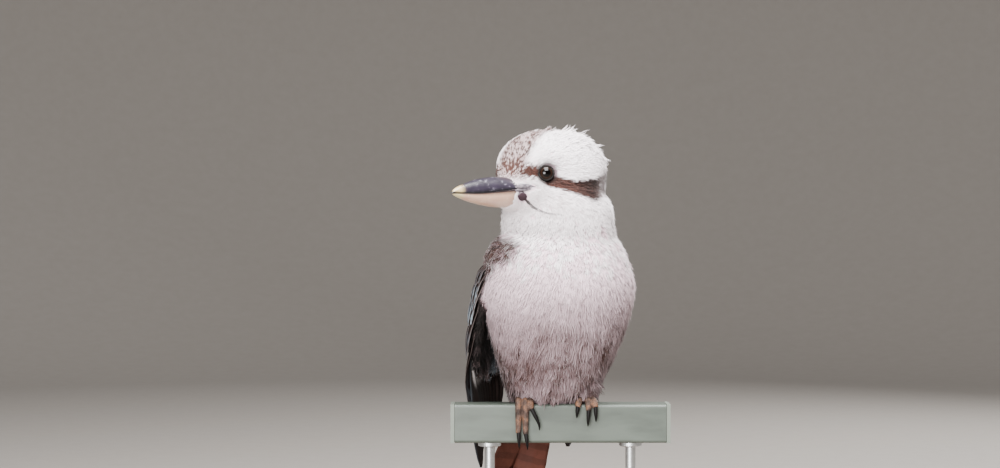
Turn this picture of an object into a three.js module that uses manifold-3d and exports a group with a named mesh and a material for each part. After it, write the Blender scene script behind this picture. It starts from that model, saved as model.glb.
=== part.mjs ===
// A life-size laughing kookaburra perched on a short length of rail: a still museum model on a display stand.
// Units are millimetres and +Z is up. The bird faces -Y, a little towards +X, and its head is turned to its
// right, towards -X. The origin is the centre of the stand's foot, on the surface that it stands on.

import * as THREE from "three";
import { mergeVertices } from "three/addons/utils/BufferGeometryUtils.js";
import Module from "manifold-3d";

const wasm = await Module();
wasm.setup();

const { degToRad, lerp, smoothstep, clamp } = THREE.MathUtils;
const vec = (x, y, z) => new THREE.Vector3(x, y, z);

// Driving dimensions

const GAP = 0.3; // between pieces that meet face to face
const BODY_TURN = 20; // degrees, breast towards +X
const HEAD_TURN = -45; // degrees, bill towards -X
const HEAD_CENTRE = vec(-11.3, -4, 178); // above the rail's top
const BILL_LENGTH = 60.5; // from the forehead feathers to the tip
const BILL_BASE = 40; // from the head's centre forward to the forehead feathers
const EYE_FORWARD = 22;
const EYE_SIDE = 20.3;
const EYE_RADIUS = 7.4;
const TAIL_LENGTH = 150;
const TAIL_TILT = 20; // degrees from straight down
const TAIL_SWING = 13; // degrees to the bird's right
const TAIL_ROOT = vec(0, 46, 10); // in the body's frame
const VANE = 0.8; // thickness of a feather's vane
const RAIL_LENGTH = 164;
const RAIL_DEPTH = 25;
const RAIL_HEIGHT = 30;
const RAIL_WALL = 2;
const FOOT_X = { right: -30, left: 22 };
const BASE = { length: 190, depth: 150, height: 16, corner: 22, middle: 12 };
const ROD_RADIUS = 4;
const ROD_SPACING = 110;
const TAIL_CLEARANCE = 8;
const RAIL_TOP =
  BASE.height + TAIL_CLEARANCE + TAIL_LENGTH * Math.cos(degToRad(TAIL_TILT)) - TAIL_ROOT.z + 4;

// The frames of the body and the head, above the middle of the rail's top. X is the bird's left, Y its back

const bodyFrame = new THREE.Matrix4().makeRotationZ(degToRad(BODY_TURN));
const headFrame = new THREE.Matrix4()
  .makeTranslation(HEAD_CENTRE.x, HEAD_CENTRE.y, HEAD_CENTRE.z)
  .multiply(new THREE.Matrix4().makeRotationZ(degToRad(HEAD_TURN)));

// Closed meshes and solids

// A closed BufferGeometry as a manifold-3d solid, turned right side out.
function solidOf(geometry) {
  const bare = geometry.clone();
  bare.deleteAttribute("normal");
  bare.deleteAttribute("uv");
  const merged = mergeVertices(bare, 1e-4);
  const kept = [];
  const index = merged.index.array;
  for (let i = 0; i < index.length; i += 3) {
    const [a, b, c] = [index[i], index[i + 1], index[i + 2]];
    if (a !== b && b !== c && a !== c) kept.push(a, b, c);
  }
  const make = (triVerts) =>
    new wasm.Manifold(
      new wasm.Mesh({ numProp: 3, vertProperties: merged.attributes.position.array, triVerts }),
    );
  const made = make(new Uint32Array(kept));
  return made.volume() > 0 ? made : make(new Uint32Array(kept.reverse()));
}

function geometryOf(solid) {
  const mesh = solid.getMesh();
  return new THREE.BufferGeometry()
    .setAttribute("position", new THREE.BufferAttribute(mesh.vertProperties, 3))
    .setIndex(new THREE.BufferAttribute(mesh.triVerts, 1))
    .toNonIndexed();
}

const largest = (solid) =>
  solid.decompose().reduce((a, b) => (a.volume() > b.volume() ? a : b));

const union = (solids) => wasm.Manifold.union(solids);

// A sphere whose grid is laid out by place(along, around): along runs 0 to 1 from pole to pole.
function shaped(columns, rows, place) {
  const geometry = new THREE.SphereGeometry(1, columns, rows);
  const { position, uv } = geometry.attributes;
  for (let i = 0; i < position.count; i++) {
    const row = Math.round((1 - uv.getY(i)) * rows);
    const column = Math.round(uv.getX(i) * columns - (row === 0 || row === rows ? 0.5 : 0)) % columns;
    const p = place(row / rows, ((row === 0 || row === rows ? 0 : column) / columns) * 2 * Math.PI);
    position.setXYZ(i, p.x, p.y, p.z);
  }
  return solidOf(geometry);
}

// A thin closed slab laid out by place(along, across, face): along is 0 to 1, across and face are -1 to 1.
// Both faces are split into triangles alike.
function slab(rows, columns, place) {
  const points = [];
  const corner = new Map();
  const at = (i, j, face) => {
    const key = `${i},${j},${face}`;
    if (!corner.has(key)) {
      corner.set(key, points.length / 3);
      points.push(...place(i / rows, (j / columns) * 2 - 1, face));
    }
    return corner.get(key);
  };
  const faces = [];
  const quad = (a, b, c, d) => faces.push(a, b, c, a, c, d);
  for (let i = 0; i < rows; i++)
    for (let j = 0; j < columns; j++) {
      faces.push(at(i, j, 1), at(i, j + 1, 1), at(i + 1, j + 1, 1));
      faces.push(at(i, j, 1), at(i + 1, j + 1, 1), at(i + 1, j, 1));
      faces.push(at(i, j, -1), at(i + 1, j + 1, -1), at(i, j + 1, -1));
      faces.push(at(i, j, -1), at(i + 1, j, -1), at(i + 1, j + 1, -1));
    }
  for (let i = 0; i < rows; i++) {
    quad(at(i, 0, -1), at(i, 0, 1), at(i + 1, 0, 1), at(i + 1, 0, -1));
    quad(at(i, columns, 1), at(i, columns, -1), at(i + 1, columns, -1), at(i + 1, columns, 1));
  }
  for (let j = 0; j < columns; j++) {
    quad(at(0, j, 1), at(0, j, -1), at(0, j + 1, -1), at(0, j + 1, 1));
    quad(at(rows, j, -1), at(rows, j, 1), at(rows, j + 1, 1), at(rows, j + 1, -1));
  }
  return solidOf(
    new THREE.BufferGeometry()
      .setAttribute("position", new THREE.Float32BufferAttribute(points, 3))
      .setIndex(faces),
  );
}

// A smooth curve through rows of numbers: track(0) is the first row and track(1) the last.
function track(rows) {
  const last = rows.length - 1;
  return (share) => {
    const at = clamp(share, 0, 1) * last;
    const i = Math.min(Math.floor(at), last - 1);
    const u = at - i;
    const [p, q, r, s] = [rows[Math.max(i - 1, 0)], rows[i], rows[i + 1], rows[Math.min(i + 2, last)]];
    return q.map((here, k) => {
      const bend = 2 * p[k] - 5 * here + 4 * r[k] - s[k] + u * (3 * (here - r[k]) + s[k] - p[k]);
      return here + 0.5 * u * (r[k] - p[k] + u * bend);
    });
  };
}

// A tapered, round-ended tube along a curve, with radii as a track of one number.
function limb(points, radii, columns = 8, rows = 10) {
  const curve = new THREE.CatmullRomCurve3(points, false, "centripetal");
  const frames = curve.computeFrenetFrames(rows, false);
  const radius = track(radii.map((r) => [r]));
  return shaped(columns, rows + 2, (along, around) => {
    const row = Math.round(along * (rows + 2));
    const station = clamp(row - 1, 0, rows);
    const centre = curve.getPointAt(station / rows);
    if (row === 0) return centre.addScaledVector(frames.tangents[0], -0.6 * radii[0]);
    if (row === rows + 2) return centre.addScaledVector(frames.tangents[rows], 0.6 * radii.at(-1));
    const r = radius(station / rows)[0];
    return centre
      .addScaledVector(frames.normals[station], r * Math.cos(around))
      .addScaledVector(frames.binormals[station], r * Math.sin(around));
  });
}

function block(x, y, z, centre) {
  return solidOf(new THREE.BoxGeometry(x, y, z).translate(centre.x, centre.y, centre.z));
}

// Where a surface lies, with its outward normal and its direction across, from a patch around (a, b).
function patch(surface, a, b) {
  const step = 0.01;
  const point = surface(a, b);
  const along = surface(a + step, b).sub(surface(a - step, b)).normalize();
  const across = surface(a, b + step).sub(surface(a, b - step)).normalize();
  const normal = vec().crossVectors(along, across).normalize();
  return { point, along, across, normal };
}

// Half the width of a feather at a share of its length, as a share of its widest.
const outline = (share, root, blunt) =>
  share < blunt
    ? lerp(root, 1, smoothstep(share, 0, 0.45))
    : Math.max(0.12, Math.pow(1 - Math.pow((share - blunt) / (1 - blunt), 2.2), 1 / 2.2));

// One feather's vane, which leaves the surface at its root and lies over it to its tip. It says where root
// and tip lie, how wide it is, how deep its root sinks, how high its tip lies, and its tilt in degrees.
function vane(surface, feather) {
  const { from, to, width, sink, lift, tilt, rows, root = 0.5, blunt = 0.6 } = feather;
  return slab(rows, 1, (step, side, face) => {
    const share = 1 - Math.pow(1 - step, 1.5);
    const a = lerp(from[0], to[0], share);
    const b = lerp(from[1], to[1], share);
    const { point, across, normal } = patch(surface, a, b);
    const height = lerp(-sink, lift, smoothstep(share, 0, 0.7));
    const half = (width / 2) * outline(share, root, blunt);
    return point
      .addScaledVector(normal, height + (face * VANE) / 2 + side * half * Math.sin(degToRad(tilt)))
      .addScaledVector(across, side * half * Math.cos(degToRad(tilt)));
  });
}

// Flesh: torso, neck and head as one form

// Height, place along the back, half width, and reach to the front and the back.
const TORSO = [
  [-22, 35, 0, 0, 0],
  [-19, 33, 13, 9, 7],
  [-9, 29, 25, 13, 17],
  [4, 21, 34.5, 33, 30],
  [22, 13, 41.5, 40, 43],
  [45, 8, 50.5, 48, 48],
  [68, 5, 57.5, 53, 48],
  [88, 3, 61, 55, 47],
  [108, 2, 56, 52, 45],
  [124, 2, 49, 47, 41],
  [136, 2, 40, 40, 34],
  [146, 2, 26, 27, 22],
  [150, 2, 0, 0, 0],
];
const torsoTrack = track(TORSO);

// The torso, grown outwards where another piece has to keep clear of it.
const torsoForm = (grow) =>
  shaped(30, 18, (along, around) => {
    const [z, back, width, front, rear] = torsoTrack(along);
    const reach = Math.sin(around) < 0 ? front : rear;
    const more = width > 1 ? grow : 0;
    const side = (width + more) * Math.cos(around);
    return vec(side, back + (reach + more) * Math.sin(around), z).applyMatrix4(bodyFrame);
  });

// Height, centre in X and Y, and half widths of the neck.
const NECK = [
  [104, 0, 2, 0, 0],
  [107, 0, 2, 30, 28],
  [120, 0, 1, 43.5, 42],
  [133, -1, 0, 45, 44],
  [146, -2, -2, 45.5, 43],
  [157, -3, -3, 43.5, 41],
  [167, -6, -4, 34, 34],
  [173, -8, -4, 0, 0],
];
const neckTrack = track(NECK);

const neckForm = (grow) =>
  shaped(26, 8, (along, around) => {
    const [z, x, y, wide, deep] = neckTrack(along);
    const more = wide > 1 ? grow : 0;
    return vec(x + (wide + more) * Math.cos(around), y + (deep + more) * Math.sin(around), z);
  });

const fleshSpace = union([torsoForm(GAP + 0.1), neckForm(GAP + 0.1)]);

// Forward of the head's centre, half width, crown above it and chin below it.
const HEAD = [
  [42.5, 0, -8, -8],
  [41.5, 11, 0, -18],
  [38, 21, 13, -27],
  [31, 27.5, 24.5, -33],
  [20, 33, 32, -38],
  [6, 37, 35.3, -42],
  [-10, 39, 35.8, -45],
  [-25, 37, 34, -46],
  [-38, 30, 27, -43],
  [-47, 19, 15, -34],
  [-50.5, 0, -8, -8],
];
const headTrack = track(HEAD);
const FULL = 0.9; // a section's roundness: 1 is an ellipse, less is fuller

const bump = (x, y, radius) => Math.exp(-(x * x + y * y) / (radius * radius));
const SOCKET = { deep: 8, behind: 2, radius: 10, stretch: 0.75 }; // the hollow round each eye

// The head's surface in its own frame, where X is the bird's left and -Y is forward.
function headLocal(along, around) {
  const [forward, width, top, bottom] = headTrack(along);
  const c = Math.cos(around);
  const s = Math.sin(around);
  const x = width * Math.sign(c) * Math.pow(Math.abs(c), FULL);
  const z = (s > 0 ? Math.max(top, 0) : Math.max(-bottom, 0)) * Math.sign(s) * Math.pow(Math.abs(s), FULL);
  const lowFront = top < 0 ? top * (1 - Math.abs(s)) : 0;
  const ahead = forward - EYE_FORWARD - SOCKET.behind;
  const dent = SOCKET.deep * bump(SOCKET.stretch * ahead, z, SOCKET.radius);
  return vec(x - Math.sign(x) * Math.min(dent, Math.abs(x)), -forward, z + lowFront);
}
const headAt = (along, around) => headLocal(along, around).applyMatrix4(headFrame);

const inHead = (side, forward, up) => vec(side, -forward, up).applyMatrix4(headFrame);
const inBody = (side, back, up) => vec(side, back, up).applyMatrix4(bodyFrame);

// Bill: forward, half width, culmen, tomium and keel, all about the head's centre

const BILL = [
  [28, 11.5, -5, -11.2, -23],
  [38, 12.8, -3.2, -11.6, -25.4],
  [50, 11.4, -2.6, -12.8, -26],
  [62, 9.3, -3, -14, -25.4],
  [76, 6.8, -5, -15.3, -23.4],
  [88, 4.4, -8.4, -15.7, -20.8],
  [97, 2.3, -11.8, -15.6, -18],
  [BILL_BASE + BILL_LENGTH, 0.6, -14.6, -15.4, -16],
];
const billTrack = track(BILL);

// One half of the bill: part is 1 for the upper mandible, -1 for the lower. grow makes the tool for its bed.
function mandible(part, grow) {
  const rows = 10;
  return shaped(12, rows + 2, (along, around) => {
    const row = Math.round(along * (rows + 2));
    const share = clamp(row - 1, 0, rows) / rows;
    const [forward, width, culmen, tomium, keel] = billTrack(share);
    const split = grow ? -GAP : GAP / 2;
    const edge = tomium + part * split;
    const far = part > 0 ? culmen + grow : keel - grow;
    const c = Math.cos(around);
    const s = Math.sin(around);
    if (row === 0 || row === rows + 2)
      return inHead(0, forward + (row === 0 ? -grow : 0.3 + grow), (edge + far) / 2);
    const full = part > 0 ? 0.85 : 0.8;
    const lift = Math.max(s, 0) ** full;
    return inHead(
      (width + grow) * Math.sign(c) * Math.abs(c) ** (s > 0 ? 0.95 : 0.5),
      forward - (row === 1 ? grow : 0),
      lerp(edge, far, s > 0 ? lift : 0) + (s < 0 ? -part * 0.01 * s : 0),
    );
  });
}

// Wings: a guide surface round the folded wing's outside, then feathers in tiers on it

// At equal steps from the shoulder's top to the tip's end: place along the back, half width, reach to the
// back, and the angles from straight back of the leading and the dorsal edge, in degrees.
const WING = {
  left: {
    top: 130,
    tip: -40,
    rows: [
      [2, 45, 41, 88, 20],
      [4, 59, 51, 84, 8],
      [8, 61, 53, 82, 6],
      [12, 56, 51, 78, 6],
      [16, 50, 48, 70, 11],
      [21, 43, 44, 60, 24],
      [27, 36, 39, 52, 42],
    ],
  },
  right: {
    top: 130,
    tip: -56,
    rows: [
      [2, 46, 41, 100, 20],
      [5, 61.5, 52, 98, 8],
      [9, 66.5, 54, 95, 6],
      [13, 68, 53, 88, 6],
      [17, 67, 51, 66, 11],
      [24, 63, 48, 60, 24],
      [31, 57, 44, 54, 40],
    ],
  },
};
const SIDES = { left: 1, right: -1 };
const CORE = { length: 0.58, raised: 0.4, sunk: 7 };

// The outside of a folded wing, less a depth: along is 0 at the shoulder and 1 at the tip, across -1 to 1.
function wingSurface(name, depth = 0) {
  const { top, tip, rows } = WING[name];
  const follow = track(rows);
  return (along, across) => {
    const [back, width, rear, lead, dorsal] = follow(along);
    const angle = degToRad(lerp(lead, dorsal, (across * SIDES[name] + 1) / 2));
    return vec(
      SIDES[name] * (width - depth) * Math.sin(angle),
      back + (rear - depth) * Math.cos(angle),
      lerp(top, tip, along),
    ).applyMatrix4(bodyFrame);
  };
}

// The wing's fleshy core with the quills' bases. grow makes the tool that cuts its bed in the torso.
function wingCore(name, grow = 0) {
  const span = WING[name].top - WING[name].tip;
  return slab(6, 4, (along, across, face) => {
    const end = along === 0 ? -1 : along === 1 ? 1 : 0;
    const share = CORE.length * along + (end * grow) / span;
    const round = Math.sqrt(Math.max(0.16, 1 - Math.pow(Math.abs(2 * along - 1), 4)));
    const thin = lerp(1, 0.45, smoothstep(along, 0.4, 1));
    const outside = grow ? -8 : CORE.raised;
    const depth = face > 0 ? outside : CORE.sunk * thin + grow;
    const edge = Math.abs(across) === 1 ? Math.sign(across) * (grow / 15) : 0;
    return wingSurface(name, depth)(share, across * 0.94 * round + edge);
  });
}

// Tiers of feathers from the tip up to the shoulder: count, width and rows of each feather, then for the
// first and the last feather where root and tip lie along the wing and across it, and how high the tip lies.
const TIERS = [
  [7, 16, 4, [0.5, 0.44], [1, 0.8], [-0.55, 0.3], [-0.55, 0.6], [0.2, 1.6]],
  [8, 18, 4, [0.42, 0.36], [0.76, 0.62], [-0.74, 0.82], [-0.7, 0.9], [1.2, 2.4]],
  [8, 15, 3, [0.24, 0.24], [0.47, 0.44], [-0.72, 0.76], [-0.8, 0.84], [2.6, 3.2]],
  [7, 15, 3, [0.12, 0.13], [0.3, 0.29], [-0.7, 0.7], [-0.8, 0.8], [2.8, 3.2]],
  [6, 15, 3, [0.04, 0.05], [0.18, 0.17], [-0.62, 0.6], [-0.76, 0.74], [2.6, 3]],
];
const WING_SINK = 2.2;
const WING_TILT = 12;

function wing(name) {
  const surface = wingSurface(name);
  const side = SIDES[name];
  const feathers = TIERS.flatMap(([count, width, rows, roots, tips, rootsAcross, tipsAcross, lifts]) =>
    Array.from({ length: count }, (_, i) => {
      const share = i / (count - 1);
      return vane(surface, {
        from: [lerp(...roots, share), side * lerp(...rootsAcross, share)],
        to: [lerp(...tips, share), side * lerp(...tipsAcross, share)],
        width,
        lift: lerp(...lifts, share),
        sink: WING_SINK,
        tilt: -side * WING_TILT,
        rows,
      });
    }),
  );
  return largest(union([wingCore(name), ...feathers.map((feather) => feather.subtract(fleshSpace))]));
}

// Tail: six pairs of tail feathers, the middle pair uppermost, with coverts over and under the root

const tailAxis = vec(
  -Math.sin(degToRad(TAIL_SWING)) * Math.cos(degToRad(TAIL_TILT)),
  Math.sin(degToRad(TAIL_TILT)),
  -Math.cos(degToRad(TAIL_TILT)) * Math.cos(degToRad(TAIL_SWING)),
);
const tailBack = vec(0, Math.cos(degToRad(TAIL_TILT)), Math.sin(degToRad(TAIL_TILT)));
const tailSide = vec().crossVectors(tailBack, tailAxis).normalize().negate();

// A point of the tail: along its length, to its left, and out of its back.
const inTail = (length, left, out) =>
  TAIL_ROOT.clone()
    .addScaledVector(tailAxis, length)
    .addScaledVector(tailSide, left)
    .addScaledVector(tailBack, out)
    .applyMatrix4(bodyFrame);

const PAIRS = 6;
const TAIL_STEP = VANE + 0.6; // from one feather to the next under it

function tailFeather(pair, side) {
  const length = TAIL_LENGTH - 1.1 * pair * pair;
  const outer = 15 + 11 * Math.sin((pair / PAIRS) * 1.5);
  return slab(5, 1, (step, across, face) => {
    const share = 1 - Math.pow(1 - step, 1.5);
    const round = Math.pow(1 - Math.pow(Math.max(0, (share - 0.8) / 0.2), 2.4), 1 / 2.4);
    const wide = outer * lerp(0.26, 1, smoothstep(share, 0, 0.7));
    const middle = 0.2 + wide / 2;
    const half = (wide / 2 - 0.05) * Math.max(0.5, round);
    const left = middle + across * side * half;
    const roof = 0.012 * left * left;
    return inTail(length * share - 6, side * left, -pair * TAIL_STEP - roof - 1.5 + (face * VANE) / 2);
  });
}

// A row of coverts over the tail's root, or under it where out is negative.
function tailCoverts(out, length, reach, count) {
  const outward = Math.sign(out);
  const sheet = (along, across) => {
    const left = across * reach;
    return inTail(along * length - 4, left, out - outward * 0.02 * left * left);
  };
  return Array.from({ length: count }, (_, i) => {
    const share = (i / (count - 1)) * 2 - 1;
    return vane(sheet, {
      from: [0.05, share * 0.5],
      to: [1 - 0.16 * share * share, share],
      width: 15,
      sink: outward * -1.5,
      lift: -0.4,
      tilt: 6,
      rows: 3,
    });
  });
}

const TAIL_STUB = { length: 24, width: 15, depth: 11, middle: [7, -5] };

const tailStub = (grow) =>
  shaped(12, 7, (along, around) =>
    inTail(
      TAIL_STUB.middle[0] - (TAIL_STUB.length + grow) * Math.cos(along * Math.PI),
      (TAIL_STUB.width + grow) * Math.sin(along * Math.PI) * Math.cos(around),
      TAIL_STUB.middle[1] + (TAIL_STUB.depth + grow) * Math.sin(along * Math.PI) * Math.sin(around),
    ),
  );

function tail() {
  const feathers = [];
  for (let pair = 0; pair < PAIRS; pair++) feathers.push(tailFeather(pair, 1), tailFeather(pair, -1));
  feathers.push(...tailCoverts(3.6, 46, 13, 4), ...tailCoverts(-12.5, 44, 12, 4));
  const outside = fleshSpace.subtract(tailStub(0));
  return largest(union([tailStub(0), ...feathers]).subtract(outside));
}

// Crest: the loose feathers at the back of the crown

function crest() {
  const tufts = [
    { at: 0.5, count: 4, spread: 24, length: 0.18, lift: 1.6 },
    { at: 0.59, count: 5, spread: 34, length: 0.18, lift: 2.8 },
    { at: 0.69, count: 6, spread: 42, length: 0.17, lift: 3.6 },
  ];
  return tufts.flatMap(({ at, count, spread, length, lift }) =>
    Array.from({ length: count }, (_, i) => {
      const angle = degToRad(90 + spread * ((i / (count - 1)) * 2 - 1));
      return vane(headAt, {
        from: [at, angle],
        to: [at + length, angle + 0.06 * Math.sin(7 * i)],
        width: 10,
        sink: 2.5,
        lift: lift + 0.7 * Math.sin(5 * i + at * 9),
        tilt: 8,
        rows: 2,
        blunt: 0.4,
        root: 0.7,
      });
    }),
  );
}

// Eyes and lids

const LID = { radius: 6, thick: 1.2, out: 4.2 };
const headTurned = new THREE.Matrix4().extractRotation(headFrame);
const eyeCentre = (side) => inHead(side * EYE_SIDE, EYE_FORWARD, 0);
const eyeOut = (side) => vec(side * 0.79, -0.6, 0.08).applyMatrix4(headTurned).normalize();

function eyeball(side, grow) {
  const { x, y, z } = eyeCentre(side);
  return solidOf(new THREE.SphereGeometry(EYE_RADIUS + grow, 14, 8).translate(x, y, z));
}

function lid(side) {
  const facing = new THREE.Quaternion().setFromUnitVectors(vec(0, 0, 1), eyeOut(side));
  const { x, y, z } = eyeCentre(side).addScaledVector(eyeOut(side), LID.out);
  return solidOf(
    new THREE.TorusGeometry(LID.radius, LID.thick, 5, 18).applyQuaternion(facing).translate(x, y, z),
  );
}

// The fold that runs back from the corner of the mouth, as a groove
function mouthFold(side) {
  const points = [
    inHead(side * 12.5, 38.5, -16),
    inHead(side * 14.7, 34.1, -22),
    inHead(side * 26, 29.8, -26),
    inHead(side * 35.2, 23.5, -29.5),
  ];
  return limb(points, [0.9, 1.5, 1.5, 0.6], 6, 6);
}

// Legs: feathered shanks under the belly, and feet that grip the rail

const TOE_RADIUS = 2.5;
const SHANK = { side: 12.5, front: 13, height: 14, centre: [0.84, 2, 11] };

function shank(name, grow) {
  const [inward, y, z] = SHANK.centre;
  return shaped(12, 7, (along, around) => {
    const wide = Math.sin(along * Math.PI);
    return vec(
      FOOT_X[name] * inward + (SHANK.side + grow) * wide * Math.cos(around),
      y + (SHANK.front + grow) * wide * Math.sin(around),
      z - (SHANK.height + grow) * Math.cos(along * Math.PI),
    );
  });
}

// Each toe's place to the left of the foot's middle, how far its end leads to the left and down the rail's
// face, and its claw's length and lean. The hind toe grips the rail's other face.
const TOES = {
  right: {
    outer: { from: -2.3, lead: -0.4, down: 20, claw: 12, lean: 0.6 },
    middle: { from: 2.3, lead: 0.6, down: 21, claw: 12, lean: 1.4 },
    inner: { from: 5.6, lead: 1.4, down: 2, claw: 16, lean: 6.5 },
    hind: { from: 0, lead: 1, down: 9, claw: 11, lean: 0 },
  },
  left: {
    outer: { from: 2.6, lead: 2.2, down: 0.5, claw: 11, lean: 0.4 },
    middle: { from: -1.4, lead: 1, down: 3, claw: 12, lean: -0.6 },
    inner: { from: -5.4, lead: -3.4, down: 0.5, claw: 8, lean: -0.8 },
    hind: { from: 0, lead: -1, down: 9, claw: 11, lean: 0 },
  },
};

// The path of a toe's middle from the foot over the edge of the rail, and where its claw begins.
function toePath(name, toe) {
  const { from, lead, down } = TOES[name][toe];
  const front = toe === "hind" ? 1 : -1;
  const x = FOOT_X[name] + from;
  const edge = RAIL_DEPTH / 2;
  const rest = TOE_RADIUS + GAP;
  return [
    vec(x - 0.4 * from, 0, rest + 0.8),
    vec(x + 0.3 * lead, front * 0.6 * edge, rest + 0.4),
    vec(x + 0.6 * lead, front * (edge - 1), rest + 0.1),
    vec(x + 0.85 * lead, front * (edge + rest - 0.7), 0.4),
    vec(x + lead, front * (edge + rest + 0.3), -down - 1.5),
  ];
}

function tarsus(name, grow = 0) {
  const x = FOOT_X[name];
  const r = TOE_RADIUS;
  return limb(
    [vec(x, 0, 4), vec(x * 0.98, 3, 10), vec(x * 0.94, 7, 19)],
    [1.5 * r + grow, 1.1 * r + grow, 1.2 * r + grow],
    7,
    4,
  );
}

function foot(name) {
  const r = TOE_RADIUS;
  const toes = Object.keys(TOES[name]).map((toe) =>
    limb(toePath(name, toe), [r, r, r * 0.94, r, r * 0.8], 6, 6),
  );
  return union([tarsus(name), ...toes]);
}

function claw(name, toe, grow = 0) {
  const { claw: length, lean } = TOES[name][toe];
  const front = toe === "hind" ? 1 : -1;
  const start = toePath(name, toe).at(-1);
  const at = (side, out, down) => start.clone().add(vec(side * lean, front * out, down));
  return limb(
    [at(0, 0, 1.2), at(0.3, 1.5, -0.3 * length), at(0.7, 1.4, -0.72 * length), at(1, 0.2, -length)],
    [1.6 + grow, 1.5 + grow, 0.95 + grow, 0.3 + grow],
    6,
    4,
  );
}

// Perch and stand

function rail() {
  const outer = new THREE.Shape();
  const [w, h, r] = [RAIL_DEPTH / 2, RAIL_HEIGHT / 2, 2.5];
  outer.moveTo(-w + r, -h).lineTo(w - r, -h).absarc(w - r, -h + r, r, -Math.PI / 2, 0);
  outer.lineTo(w, h - r).absarc(w - r, h - r, r, 0, Math.PI / 2);
  outer.lineTo(-w + r, h).absarc(-w + r, h - r, r, Math.PI / 2, Math.PI);
  outer.lineTo(-w, -h + r).absarc(-w + r, -h + r, r, Math.PI, 1.5 * Math.PI);
  const hollow = new THREE.Path();
  const [a, b] = [w - RAIL_WALL, h - RAIL_WALL];
  hollow.moveTo(-a, -b).lineTo(-a, b).lineTo(a, b).lineTo(a, -b).closePath();
  outer.holes.push(hollow);
  const settings = { depth: RAIL_LENGTH, bevelEnabled: false, curveSegments: 4 };
  const lengthwise = new THREE.Matrix4().makeBasis(vec(0, 1, 0), vec(0, 0, 1), vec(1, 0, 0));
  return solidOf(
    new THREE.ExtrudeGeometry(outer, settings)
      .translate(0, 0, -RAIL_LENGTH / 2)
      .applyMatrix4(lengthwise)
      .translate(0, 0, -RAIL_HEIGHT / 2),
  );
}

function railCap(side) {
  const thick = 3;
  const plug = 8;
  const edge = (side * RAIL_LENGTH) / 2;
  const at = (out) => vec(edge + side * out, 0, -RAIL_HEIGHT / 2);
  const inset = 2 * (RAIL_WALL + GAP);
  const lip = block(thick, RAIL_DEPTH, RAIL_HEIGHT, at(GAP + thick / 2));
  const inner = block(plug, RAIL_DEPTH - inset, RAIL_HEIGHT - inset, at(GAP - plug / 2 + 0.5));
  return union([lip, inner]);
}

function base() {
  const shape = new THREE.Shape();
  const [w, d, r] = [BASE.length / 2, BASE.depth / 2, BASE.corner];
  shape.moveTo(-w + r, -d).lineTo(w - r, -d).absarc(w - r, -d + r, r, -Math.PI / 2, 0);
  shape.lineTo(w, d - r).absarc(w - r, d - r, r, 0, Math.PI / 2);
  shape.lineTo(-w + r, d).absarc(-w + r, d - r, r, Math.PI / 2, Math.PI);
  shape.lineTo(-w, -d + r).absarc(-w + r, -d + r, r, Math.PI, 1.5 * Math.PI);
  const bevel = 2;
  return solidOf(
    new THREE.ExtrudeGeometry(shape, {
      depth: BASE.height - bevel,
      bevelEnabled: true,
      bevelThickness: bevel,
      bevelSize: bevel,
      bevelOffset: -bevel,
      bevelSegments: 1,
      curveSegments: 5,
    }),
  ).intersect(block(2 * BASE.length, 2 * BASE.depth, BASE.height, vec(0, 0, BASE.height / 2)));
}

function rod(side) {
  const bottom = BASE.height + GAP;
  const top = RAIL_TOP - RAIL_HEIGHT - GAP;
  const flange = 3;
  const profile = [
    [0, bottom],
    [11, bottom],
    [11, bottom + flange],
    [ROD_RADIUS, bottom + flange + 1.5],
    [ROD_RADIUS, top - flange - 1],
    [9, top - flange],
    [9, top],
    [0, top],
  ].map(([x, y]) => new THREE.Vector2(x, y));
  return solidOf(
    new THREE.LatheGeometry(profile, 16)
      .rotateX(Math.PI / 2)
      .translate((side * ROD_SPACING) / 2, -BASE.middle, 0),
  );
}

// Colours

const COLOURS = {
  breast: ["#e9e2df", 0.95, 0],
  head: ["#e6d9d1", 0.95, 0],
  wing: ["#4a3228", 0.85, 0],
  tail: ["#7a4a30", 0.85, 0],
  billUpper: ["#3c3a48", 0.4, 0],
  billLower: ["#cdb49a", 0.45, 0],
  eye: ["#2a1710", 0.08, 0],
  foot: ["#6e5848", 0.7, 0],
  claw: ["#141112", 0.35, 0],
  rail: ["#a3a89c", 0.45, 0.2],
  cap: ["#8c9187", 0.6, 0],
  base: ["#5a4030", 0.5, 0],
  rod: ["#b9bcbf", 0.3, 1],
};
const materials = Object.fromEntries(
  Object.entries(COLOURS).map(([name, [color, roughness, metalness]]) => [
    name,
    new THREE.MeshStandardMaterial({ name, color, roughness, metalness }),
  ]),
);

// Assembly

const perched = new THREE.Group(); // the bird and its perch, above the rail's top
perched.position.set(0, -BASE.middle, RAIL_TOP);
const stand = new THREE.Group();

function add(group, name, solid, material) {
  const mesh = new THREE.Mesh(geometryOf(solid), materials[material]);
  mesh.name = name;
  group.add(mesh);
}

// The room of the rail, and of each foot on it, which the belly and the legs keep clear of
const FOOT_ROOM = { width: 21, depth: RAIL_DEPTH + 4 * TOE_RADIUS + 6, over: 2 * TOE_RADIUS + 2 };
const railRoom = union([
  block(RAIL_LENGTH + 20, RAIL_DEPTH + 2 * GAP, 2 * RAIL_HEIGHT, vec(0, 0, GAP - RAIL_HEIGHT)),
  ...Object.values(FOOT_X).map((x) =>
    block(FOOT_ROOM.width, FOOT_ROOM.depth, 2 * RAIL_HEIGHT, vec(x, 0, FOOT_ROOM.over - RAIL_HEIGHT)),
  ),
]);
const clawNames = Object.keys(SIDES).flatMap((name) => Object.keys(TOES[name]).map((toe) => [name, toe]));
const clawBeds = union(clawNames.map(([name, toe]) => claw(name, toe, GAP)));

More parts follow.
